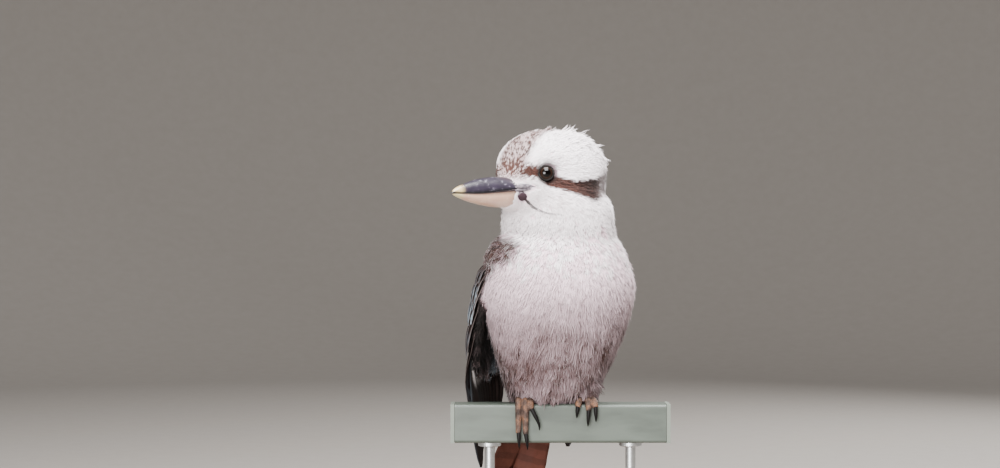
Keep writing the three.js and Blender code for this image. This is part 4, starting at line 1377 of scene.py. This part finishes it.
sets = []
for pair in range(PAIRS):
    for side in (1, -1):
        surface, marks, outer = tail_feather(pair, side)
        sets.append({
            "surface": surface,
            "start": [[0, 0]],
            "end": [[1, 0]],
            "width": outer,
            "sink": 0,
            "lift": 0,
            "root": 0.26,
            "blunt": 0.86,
            "arch": 0.04,
            "outward": side,
            "marks": marks,
        })
tail_mesh = vanes(sets, rows=30, columns=8, thick=0.5 * MM)
piece("tail_feathers", tail_mesh, tail_keratin, ["tail"])


def covert_surface(out, length, reach):
    def surface(along, across):
        left = np.asarray(across, float) * reach
        return tail_point(along * length - 4, left, out - np.sign(out) * 0.02 * left**2)

    return surface


def covert_marks(share, side, number, order):
    made = unmarked(share, side, number, order)
    made[..., RUFOUS] = 0.9
    made[..., BROWN] = 0.35
    return made


# How far out of the tail each row of coverts lies, its length and its reach to the sides, in mm.
COVERT_ROWS = [(3.4, 46, 13), (4.6, 34, 14), (-12.5, 44, 12), (-13.5, 32, 13)]
COVERTS = 6
sets = []
for out, length, reach in COVERT_ROWS:
    share = np.linspace(-1, 1, COVERTS)
    sets.append({
        "surface": covert_surface(out, length, reach),
        "start": np.stack([np.full(COVERTS, 0.05), share * 0.6], -1),
        "end": np.stack([1 - 0.16 * share**2, share], -1),
        "width": 13,
        "sink": 1.2,
        "lift": 0.4,
        "tilt": 5,
        "outward": np.sign(out),
        "marks": covert_marks if out > 0 else plain(0.4, 0, 0),
    })
piece("tail_coverts", vanes(sets), tail_keratin)

# %% [markdown]
# ## Bill
# A bill is horn over bone, in two halves that meet in a long line. The upper is slate, glossy and chipped
# along the ridge, with pale flecks there painted as broken highlights, the lower pale horn, and both end
# pale. Each half is a sphere laid out along the bill's sections, subdivided until it is smooth.

# %% Bill forms
BILL_LENGTH = 60.5
# Forward, half width, ridge, mouth line and keel, all about the head's centre.
BILL = track([
    [28, 11.5, -5, -11.2, -23],
    [38, 12.8, -3.2, -11.6, -25.4],
    [50, 11.4, -2.6, -12.8, -26],
    [62, 9.3, -3, -14, -25.4],
    [76, 6.8, -5, -15.3, -23.4],
    [88, 4.4, -8.4, -15.7, -20.8],
    [97, 2.3, -11.8, -15.6, -18],
    [40 + BILL_LENGTH, 0.6, -14.6, -15.4, -16],
])


def mandible(part):
    rows = 34

    def place(along, around):
        row = np.round(along * (rows + 2))
        forward, width, ridge, mouth, keel = BILL(np.clip(row - 1, 0, rows) / rows).T
        edge = mouth + part * 0.15
        far = ridge if part > 0 else keel
        c, s = np.cos(around), np.sin(around)
        full = 0.85 if part > 0 else 0.8
        up = np.where(s > 0, np.maximum(s, 0) ** full, 0)
        x = width * np.sign(c) * np.abs(c) ** np.where(s > 0, 0.95, 0.5)
        z = edge + (far - edge) * up
        pole = (row == 0) | (row == rows + 2)
        x, z = np.where(pole, 0, x), np.where(pole, (edge + far) / 2, z)
        forward = forward + np.where(row == rows + 2, 0.3, 0)
        dent = 0.9 * part * bump(forward - 45, (z + 6.6) * 2.2, 3.2) if part > 0 else 0
        return placed(np.stack([x - np.sign(x) * dent, -forward, z], -1), HEAD)

    return place, rows + 2


MOUTH_AT, MOUTH_UP = [28, 50, 76, 100], [-11.2, -12.8, -15.3, -15.4]  # the mouth's line, forward and up


def bill_marks(points):
    _, back, up = within(points, HEAD).T
    forward = -back
    tip = ramp(forward, 89, 95)
    base = ramp(46 - forward, 0, 6)
    line = ramp(1.4 - np.abs(up - np.interp(forward, MOUTH_AT, MOUTH_UP)), 0, 0.9)
    spot = bump(forward - 41.5, up + 18, 4.6)
    nostril = bump(forward - 45, (up + 6.6) * 2.4, 2.6)
    return np.stack([tip, base, line, np.maximum(spot, nostril)], -1)


# %% [markdown]
# Horn is smooth, with faint growth lines along it. Masks give the pale tip, the worn base, the dark line of
# the mouth and the nostril, and patchy noise gives pale flecks: painted highlights, broken as on chipped
# horn.

# %% Horn materials
NOSTRIL = "#33262b"


def horn(name, main, second, tip, line, fleck_highlight):
    """Bill horn of a main and a second colour, with a pale tip, a dark mouth line and pale flecks painted
    as highlights.
    """
    made, tree, shader = material(name, Roughness=0.3, IOR=1.54, Coat_Weight=0.3, Coat_Roughness=0.08)
    masks = node(tree, "Attribute", attribute_name="pigment")
    split = node(tree, "SeparateColor", {"Color": masks.outputs["Color"]})
    place = node(tree, "TexCoord").outputs["Object"]
    turn = (0, 0, math.radians(45))
    along = node(tree, "Mapping", {"Vector": place, "Rotation": turn, "Scale": (1, 0.2, 1)}).outputs[0]
    growth = node(tree, "TexNoise", {"Vector": along, "Scale": 1 / (2.6 * MM), "Detail": 3.0})
    growth = growth.outputs["Fac"]
    patches = node(tree, "TexNoise", {"Vector": place, "Scale": 1 / (7 * MM), "Detail": 3.0})
    patches = patches.outputs["Fac"]
    # Pale flecks over the horn's colour: painted highlights.
    pale_fleck_highlights = node(tree, "MapRange", {"Value": growth, "From Min": 0.6, "From Max": 0.72, "To Max": 0.5})
    tip_mask, base_mask, line_mask = split.outputs
    body = colour(main)
    layers = [(patches, second), (pale_fleck_highlights.outputs[0], fleck_highlight)]
    layers += [(base_mask, second), (tip_mask, tip), (line_mask, line)]
    for mask, pigment in [*layers, (masks.outputs["Alpha"], NOSTRIL)]:
        body = node(tree, "Mix", {0: mask, 6: body, 7: colour(pigment)}, **MIXED).outputs[2]
    chips = node(tree, "MapRange", {"Value": growth, "To Min": 0.2, "To Max": 0.5})
    wired(tree, shader, (growth, 0.35, 0.35), Base_Color=body, Roughness=chips.outputs[0])
    return made


slate = horn("slate_bill_horn", "#16121b", "#2e2734", "#b09a70", "#0b0a0e", "#85808e")
cream = horn("pale_bill_horn", "#b49a80", "#a37a6c", "#b5a67c", "#241a1c", "#c9b6a0")
BILL_HALVES = [
    ("bill_upper_horn", 1, slate, "bill_dark", "bill_upper"),
    ("bill_lower_horn", -1, cream, "bill_pale", "bill_lower"),
]
for name, part, finish, slot, stands_for in BILL_HALVES:
    place, rows = mandible(part)
    bm = bmesh.new()
    shaped(bm, 28, rows, place)
    mesh = mesh_from(bm, name)
    points = np.array([v.co for v in mesh.vertices])
    set_pigment(mesh, bill_marks(points))
    obj = piece(name, mesh, finish, [stands_for])
    finer = obj.modifiers.new("finer", "SUBSURF")
    finer.levels = finer.render_levels = 2

# %% [markdown]
# ## Eyes
# A kookaburra's eye is dark brown with a black pupil, and the wet cornea makes it shine. The colour
# depends on the distance from the middle of the cornea, so a Distance node draws pupil, iris and rim on
# the ball. A bare, nearly black lid rings it: dry skin with fine pores, which hardly shines.

# %% Eyes and lids
def eye_frame(side):
    """Where an eye's centre is, and the direction in which it looks."""
    centre = placed([[side * EYE_SIDE, -EYE_FORWARD, 0]], HEAD)[0]
    return Vector(centre), Vector(turned([side * 0.79, -0.6, 0.08], HEAD)).normalized()


# Pupil, iris and rim, as shares of 7 mm from the middle of the cornea.
EYE_RINGS = [
    (0, "#030202"),
    (0.42, "#040303"),
    (0.5, "#160d09"),
    (0.62, "#21140e"),
    (0.74, "#100a07"),
    (0.82, "#080505"),
]


def eye_material(name, front):
    made, tree, shader = material(name, Roughness=0.1, IOR=1.34, Specular_IOR_Level=0.35)
    place = node(tree, "TexCoord")
    away = node(tree, "VectorMath", {0: place.outputs["Object"], 1: front}, operation="DISTANCE")
    grown = node(tree, "MapRange", {"Value": away.outputs["Value"], "From Max": 7 * MM})
    rings = node(tree, "ValToRGB", {"Fac": grown.outputs[0]})
    coloured(rings, EYE_RINGS)
    wired(tree, shader, Base_Color=rings.outputs["Color"])
    return made


lid_skin, tree, shader = material("bare_lid_skin", Roughness=0.7, Specular_IOR_Level=0.15)
place = node(tree, "TexCoord")
pores = node(tree, "TexVoronoi", {"Vector": place.outputs["Object"], "Scale": 1 / (0.7 * MM)})
tint = node(tree, "ValToRGB", {"Fac": pores.outputs["Distance"]})
coloured(tint, [(0, "#17110f"), (1, "#0a0807")])
wired(tree, shader, (pores.outputs["Distance"], 0.4, 0.15), Base_Color=tint.outputs["Color"])

for name, side in [("left", 1), ("right", -1)]:
    centre, out = eye_frame(side)
    facing = out.to_track_quat("Z", "Y").to_matrix().to_4x4()
    bm = bmesh.new()
    bmesh.ops.create_uvsphere(bm, u_segments=40, v_segments=28, radius=EYE_RADIUS * MM)
    for v in bm.verts:
        v.co.z += 0.5 * MM * bump(v.co.x / MM, v.co.y / MM, 4.5) * (v.co.z > 0)
    bmesh.ops.transform(bm, matrix=Matrix.Translation(centre) @ facing, verts=bm.verts)
    front = centre + out * (EYE_RADIUS + 0.5) * MM
    piece(f"eyeball_{name}", bm, eye_material(f"wet_eye_{name}", front), [f"eye_{name}"])
    bm = bmesh.new()
    ring = bmesh.ops.create_circle(bm, segments=12, radius=0.8 * MM)["verts"]
    bmesh.ops.rotate(bm, verts=ring, matrix=Matrix.Rotation(math.radians(90), 3, "X"))
    bmesh.ops.translate(bm, verts=ring, vec=(5.3 * MM, 0, 5.0 * MM))
    spun(bm, bm.verts[:] + bm.edges[:], 48)
    for v in bm.verts:
        angle = math.atan2(v.co.y, v.co.x)
        v.co.x *= 1.06
        v.co.z += 0.25 * MM * math.cos(5 * angle)
    bmesh.ops.transform(bm, matrix=Matrix.Translation(centre) @ facing, verts=bm.verts)
    piece(f"lid_{name}", bm, lid_skin)

# %% [markdown]
# At the corner of the mouth the horn gives way to soft grey skin: two low lips that taper back under the
# eye, and an uneven purplish patch below them. The lips are flattened tubes along short paths, and the
# patch is a flat lens with a wavy rim, all laid on the face. The skin is finely veined and nearly matt.

# %% Corners of the mouth
LIPS = [  # to the left, forward and up of the head's centre, with the tube's radius
    [[12.6, 47, -10.4, 1.5], [14.0, 42.5, -10, 1.9], [16.8, 38.4, -9.6, 1.6], [19.2, 35.4, -9.8, 1.0],
     [21.5, 32.4, -10.4, 0.4]],
    [[12.4, 46.6, -13.2, 0.9], [13.9, 42, -12.9, 1.2], [16.6, 38, -12.2, 1.0], [19, 35, -11.6, 0.6],
     [20.6, 33, -11.2, 0.3]],
]
SPOT = ([14.7, 39.2, -17.2], [1.0, 7.0, 3.4])  # the patch's middle, and its radii out, along and up

gape_skin, tree, shader, _, _, grey = stained(
    "bare_gape_skin", 1.8, 4.0, [(0.35, "#3a343a"), (0.65, "#756c72")], relief=(0.4, 0.3),
    Roughness=0.6, Specular_IOR_Level=0.2,
)
patch = node(tree, "Attribute", attribute_name="pigment")
dark = node(tree, "Mix", {0: patch.outputs["Fac"], 6: grey, 7: colour("#2b1c22")}, **MIXED)
wired(tree, shader, Base_Color=dark.outputs[2])


def lip(rows, side):
    """A flattened tube, lower than wide, along a lip's path."""
    follow = track(rows)

    def place(along, around):
        x, forward, up, radius = follow(along).T
        radius = radius * np.sin(np.clip(along, 0, 1) * math.pi) ** 0.35
        out = 0.49 * radius * np.cos(around)
        high = up + radius * np.sin(around)
        return placed(np.stack([side * (x + out), -forward - out, high], -1), HEAD)

    return place


def spot(side):
    (x, forward, up), (wide, deep, high) = SPOT

    def place(along, around):
        ring = np.sin(along * math.pi) * (1 + 0.2 * np.sin(3 * around + 1) + 0.16 * np.sin(11 * along))
        back = deep * np.cos(along * math.pi)
        out = side * (x + wide * ring * np.cos(around))
        return placed(np.stack([out, back - forward, up + high * ring * np.sin(around)], -1), HEAD)

    return place


for name, side in [("left", 1), ("right", -1)]:
    bm = bmesh.new()
    masks = []
    for shape, dark_share in [(lip(LIPS[0], side), 0), (lip(LIPS[1], side), 0.2), (spot(side), 1)]:
        masks += [[dark_share] * 4] * len(shaped(bm, 16, 20, shape))
    mesh = mesh_from(bm, f"gape_{name}")
    set_pigment(mesh, masks)
    piece(f"gape_{name}", mesh, gape_skin)

# %% [markdown]
# ## Feet and claws
# A kingfisher's front toes are partly joined and wrap the perch, and the hind toe grips the far side.
# Each toe is a tube along a smooth path, with rings for its scutes. A fine remesh fuses toes and tarsus
# into one foot. Its skin is dry, with small scales parted by dark grooves. The claws are black horn, worn
# to a dull shine.

# %% Feet
TOE_RADIUS = 2.5
RAIL_DEPTH = 25
RAIL_HEIGHT = 30
GAP = 0.3  # between the toes and the rail, and between the rods and what they hold
# Place to the left of the foot's middle, lead to the left, reach down the rail, claw length and lean.
TOES = {
    "right": {
        "outer": (-2.3, -0.4, 20, 12, 0.6),
        "middle": (2.3, 0.6, 21, 12, 1.4),
        "inner": (5.6, 1.4, 2, 16, 6.5),
        "hind": (0, 1, 9, 11, 0),
    },
    "left": {
        "outer": (2.6, 2.2, 0.5, 11, 0.4),
        "middle": (-1.4, 1, 3, 12, -0.6),
        "inner": (-5.4, -3.4, 0.5, 8, -0.8),
        "hind": (0, -1, 9, 11, 0),
    },
}


def toe_path(name, toe):
    start, lead, down, _, _ = TOES[name][toe]
    front = 1 if toe == "hind" else -1
    x = FOOT_X[name] + start
    edge, rest = RAIL_DEPTH / 2, TOE_RADIUS + GAP
    return np.array([
        [x - 0.4 * start, 0, rest + 0.8],
        [x + 0.3 * lead, front * 0.6 * edge, rest + 0.4],
        [x + 0.6 * lead, front * (edge - 1), rest + 0.1],
        [x + 0.85 * lead, front * (edge + rest - 0.7), 0.4],
        [x + lead, front * (edge + rest + 0.3), -down - 1.5],
    ])


def limb(bm, points, radii, columns, rows, scute=0.0, pitch=2.0):
    """A tapered round-ended tube along a path, with rings of scutes along it."""
    path = track(points)
    radius = track([[r] for r in radii])

    def place(along, around):
        row = np.round(along * (rows + 2))
        share = np.clip(row - 1, 0, rows) / rows
        centre = path(share)
        ahead = unit(path(share + 0.01) - path(share - 0.01))
        side = unit(np.cross(ahead, [0.15, 1, 0.1]))
        over = np.cross(side, ahead)
        length = np.linalg.norm(np.diff(path(np.linspace(0, 1, 40)), axis=0), axis=1).sum()
        ring = 1 + scute * np.abs(np.sin(math.pi * share * length / pitch))
        r = np.where((row == 0) | (row == rows + 2), 0, radius(share)[:, 0] * ring)
        ends = np.where(row == 0, -0.6 * radii[0], np.where(row == rows + 2, 0.6 * radii[-1], 0))
        point = centre + ahead * ends[:, None]
        point = point + r[:, None] * (np.cos(around)[:, None] * side + np.sin(around)[:, None] * over)
        return placed(point, PERCH)

    return shaped(bm, columns, rows + 2, place)


foot_skin, tree, shader, place, _, tint = stained(
    "scaly_foot_skin", 5, 4.0, [(0.3, "#2a1f1b"), (0.5, "#4d3b33"), (0.7, "#74503a")],
    Roughness=0.65, Specular_IOR_Level=0.2,
)
scales = node(tree, "TexVoronoi", {"Vector": place, "Scale": 1 / (1.5 * MM)}, feature="DISTANCE_TO_EDGE")
edge = scales.outputs["Distance"]
groove = node(tree, "MapRange", {"Value": edge, "From Max": 0.12, "To Min": 0.35, "To Max": 1})
shade = node(tree, "Mix", {0: 1.0, 6: tint, 7: groove.outputs[0]}, **TIMES)
wired(tree, shader, (groove.outputs[0], 0.6, 0.25), Base_Color=shade.outputs[2])

claw_horn, *_ = stained(
    "black_claw_horn", 1.2, 3.0, [(0, "#030202"), (1, "#0e0b0a")],
    Roughness=0.55, IOR=1.54, Specular_IOR_Level=0.1,
)

for name, toes in TOES.items():
    bm = bmesh.new()
    x = FOOT_X[name]
    r = TOE_RADIUS
    tarsus = np.array([[x, 0, 4], [x * 0.98, 3, 10], [x * 0.94, 7, 19]])
    limb(bm, tarsus, [1.5 * r, 1.1 * r, 1.2 * r], 20, 16, 0.05)
    for toe in toes:
        limb(bm, toe_path(name, toe), [r, r, r * 0.94, r, r * 0.8], 20, 40, 0.07)
    foot_mesh = fused(f"foot_skin_{name}", bm, 0.5 * MM, 2)
    piece(f"foot_skin_{name}", foot_mesh, foot_skin, [f"foot_{name}"])
    bm = bmesh.new()
    for toe, (_, _, _, length, lean) in toes.items():
        front = 1 if toe == "hind" else -1
        start = toe_path(name, toe)[-1]
        steps = [(0, 0, 1.2), (0.5, 1.5, -0.3 * length), (0.95, 1.4, -0.72 * length), (1, 0.2, -length)]
        path = np.array([start + [side * lean, front * out, down] for side, out, down in steps])
        limb(bm, path, [1.6, 1.5, 0.95, 0.3], 16, 18)
    nodes = [f"claw_{name}_{toe}" for toe in toes]
    piece(f"claws_{name}", bm, claw_horn, nodes)

# %% [markdown]
# ## Rail and stand
# The perch is a short length of painted steel rail with plastic end caps, on two brushed steel rods in a
# dark wooden base. The CAD shapes of rail, caps and base are right and stay. The rods are turned parts,
# so they are spun again with a rounder section.
#
# The rail's gloss paint is dulled in long streaks by dirt, and its fine orange peel breaks up
# reflections. The caps are moulded polyethylene, half matt with a fine texture. Oiled walnut shows a long
# figure and short dark pores. Steel brushed round the rod shines in fine level lines.

# %% Stand materials
paint, tree, shader, place, dirt, _ = stained(
    "grey_green_gloss_paint", 9, 5.0, [(0.3, "#3d423c"), (0.62, "#484e47")], stretch=(0.25, 1, 1),
    Roughness=0.38, Coat_Weight=0.05, Specular_IOR_Level=0.3,
)
peel = node(tree, "TexNoise", {"Vector": place, "Scale": 1 / (2.2 * MM), "Detail": 1.0})
gloss = node(tree, "MapRange", {"Value": dirt, "To Min": 0.3, "To Max": 0.55})
wired(tree, shader, (peel.outputs["Fac"], 0.15, 0.15), Roughness=gloss.outputs[0])

plastic, *_ = stained(
    "moulded_grey_polyethylene", 0.8, 2.0, [(0, "#535950"), (1, "#60655c")], relief=(0.2, 0.1),
    Roughness=0.55, IOR=1.5,
)

ALONG_BOARD = (0.12, 1, 1)
walnut, tree, shader, place, _, tint = stained(
    "oiled_walnut", 14, 6.0, [(0.35, "#3b2518"), (0.65, "#75502f")], ALONG_BOARD, 0.6, Roughness=0.42
)
board = node(tree, "Mapping", {"Vector": place, "Scale": ALONG_BOARD})
pores = node(tree, "TexNoise", {"Vector": board.outputs[0], "Scale": 1 / (1.1 * MM), "Detail": 2.0})
depth = {"Value": pores.outputs["Fac"], "From Min": 0.3, "From Max": 0.5, "To Min": 0.7, "To Max": 1}
dark = node(tree, "MapRange", depth)
shade = node(tree, "Mix", {0: 1.0, 6: tint, 7: dark.outputs[0]}, **TIMES)
wired(tree, shader, (dark.outputs[0], 0.2, 0.15), Base_Color=shade.outputs[2])

steel, tree, shader, _, brush, _ = stained(
    "brushed_stainless_steel", 0.5, 2.0, [(0, "#a9acae"), (1, "#c9cbcc")], stretch=(0.05, 0.05, 1),
    Roughness=0.3, Metallic=1.0,
)
rough = node(tree, "MapRange", {"Value": brush, "To Min": 0.22, "To Max": 0.42})
wired(tree, shader, Roughness=rough.outputs[0])

# %% Kept CAD shapes
KEPT = {"perch_rail": paint, "perch_cap_left": plastic, "perch_cap_right": plastic, "stand_base": walnut}
for name, finish in KEPT.items():
    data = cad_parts[name].data
    data.materials.clear()
    data.materials.append(finish)

# %% Turned rods
ROD_RADIUS = 4
ROD_SPACING = 110
rod_bottom = BASE_HEIGHT + GAP
rod_top = RAIL_TOP - RAIL_HEIGHT - GAP
turned_profile = [
    (0, rod_bottom),
    (10.5, rod_bottom),
    (11, rod_bottom + 0.5),
    (11, rod_bottom + 2.6),
    (10.5, rod_bottom + 3),
    (5.2, rod_bottom + 3.3),
    (ROD_RADIUS, rod_bottom + 4.5),
    (ROD_RADIUS, rod_top - 4),
    (5, rod_top - 3.2),
    (8.6, rod_top - 3),
    (9, rod_top - 2.6),
    (9, rod_top),
    (0, rod_top),
]
for name, side in [("left", 1), ("right", -1)]:
    bm = bmesh.new()
    lathed(bm, [(r * MM, z * MM) for r, z in turned_profile], 40)
    bmesh.ops.translate(bm, verts=bm.verts, vec=(side * ROD_SPACING / 2 * MM, -STAND_MIDDLE * MM, 0))
    obj = piece(f"rod_{name}", bm, steel, [f"stand_rod_{name}"])
    obj.data.polygons.foreach_set("use_smooth", [False] * len(obj.data.polygons))
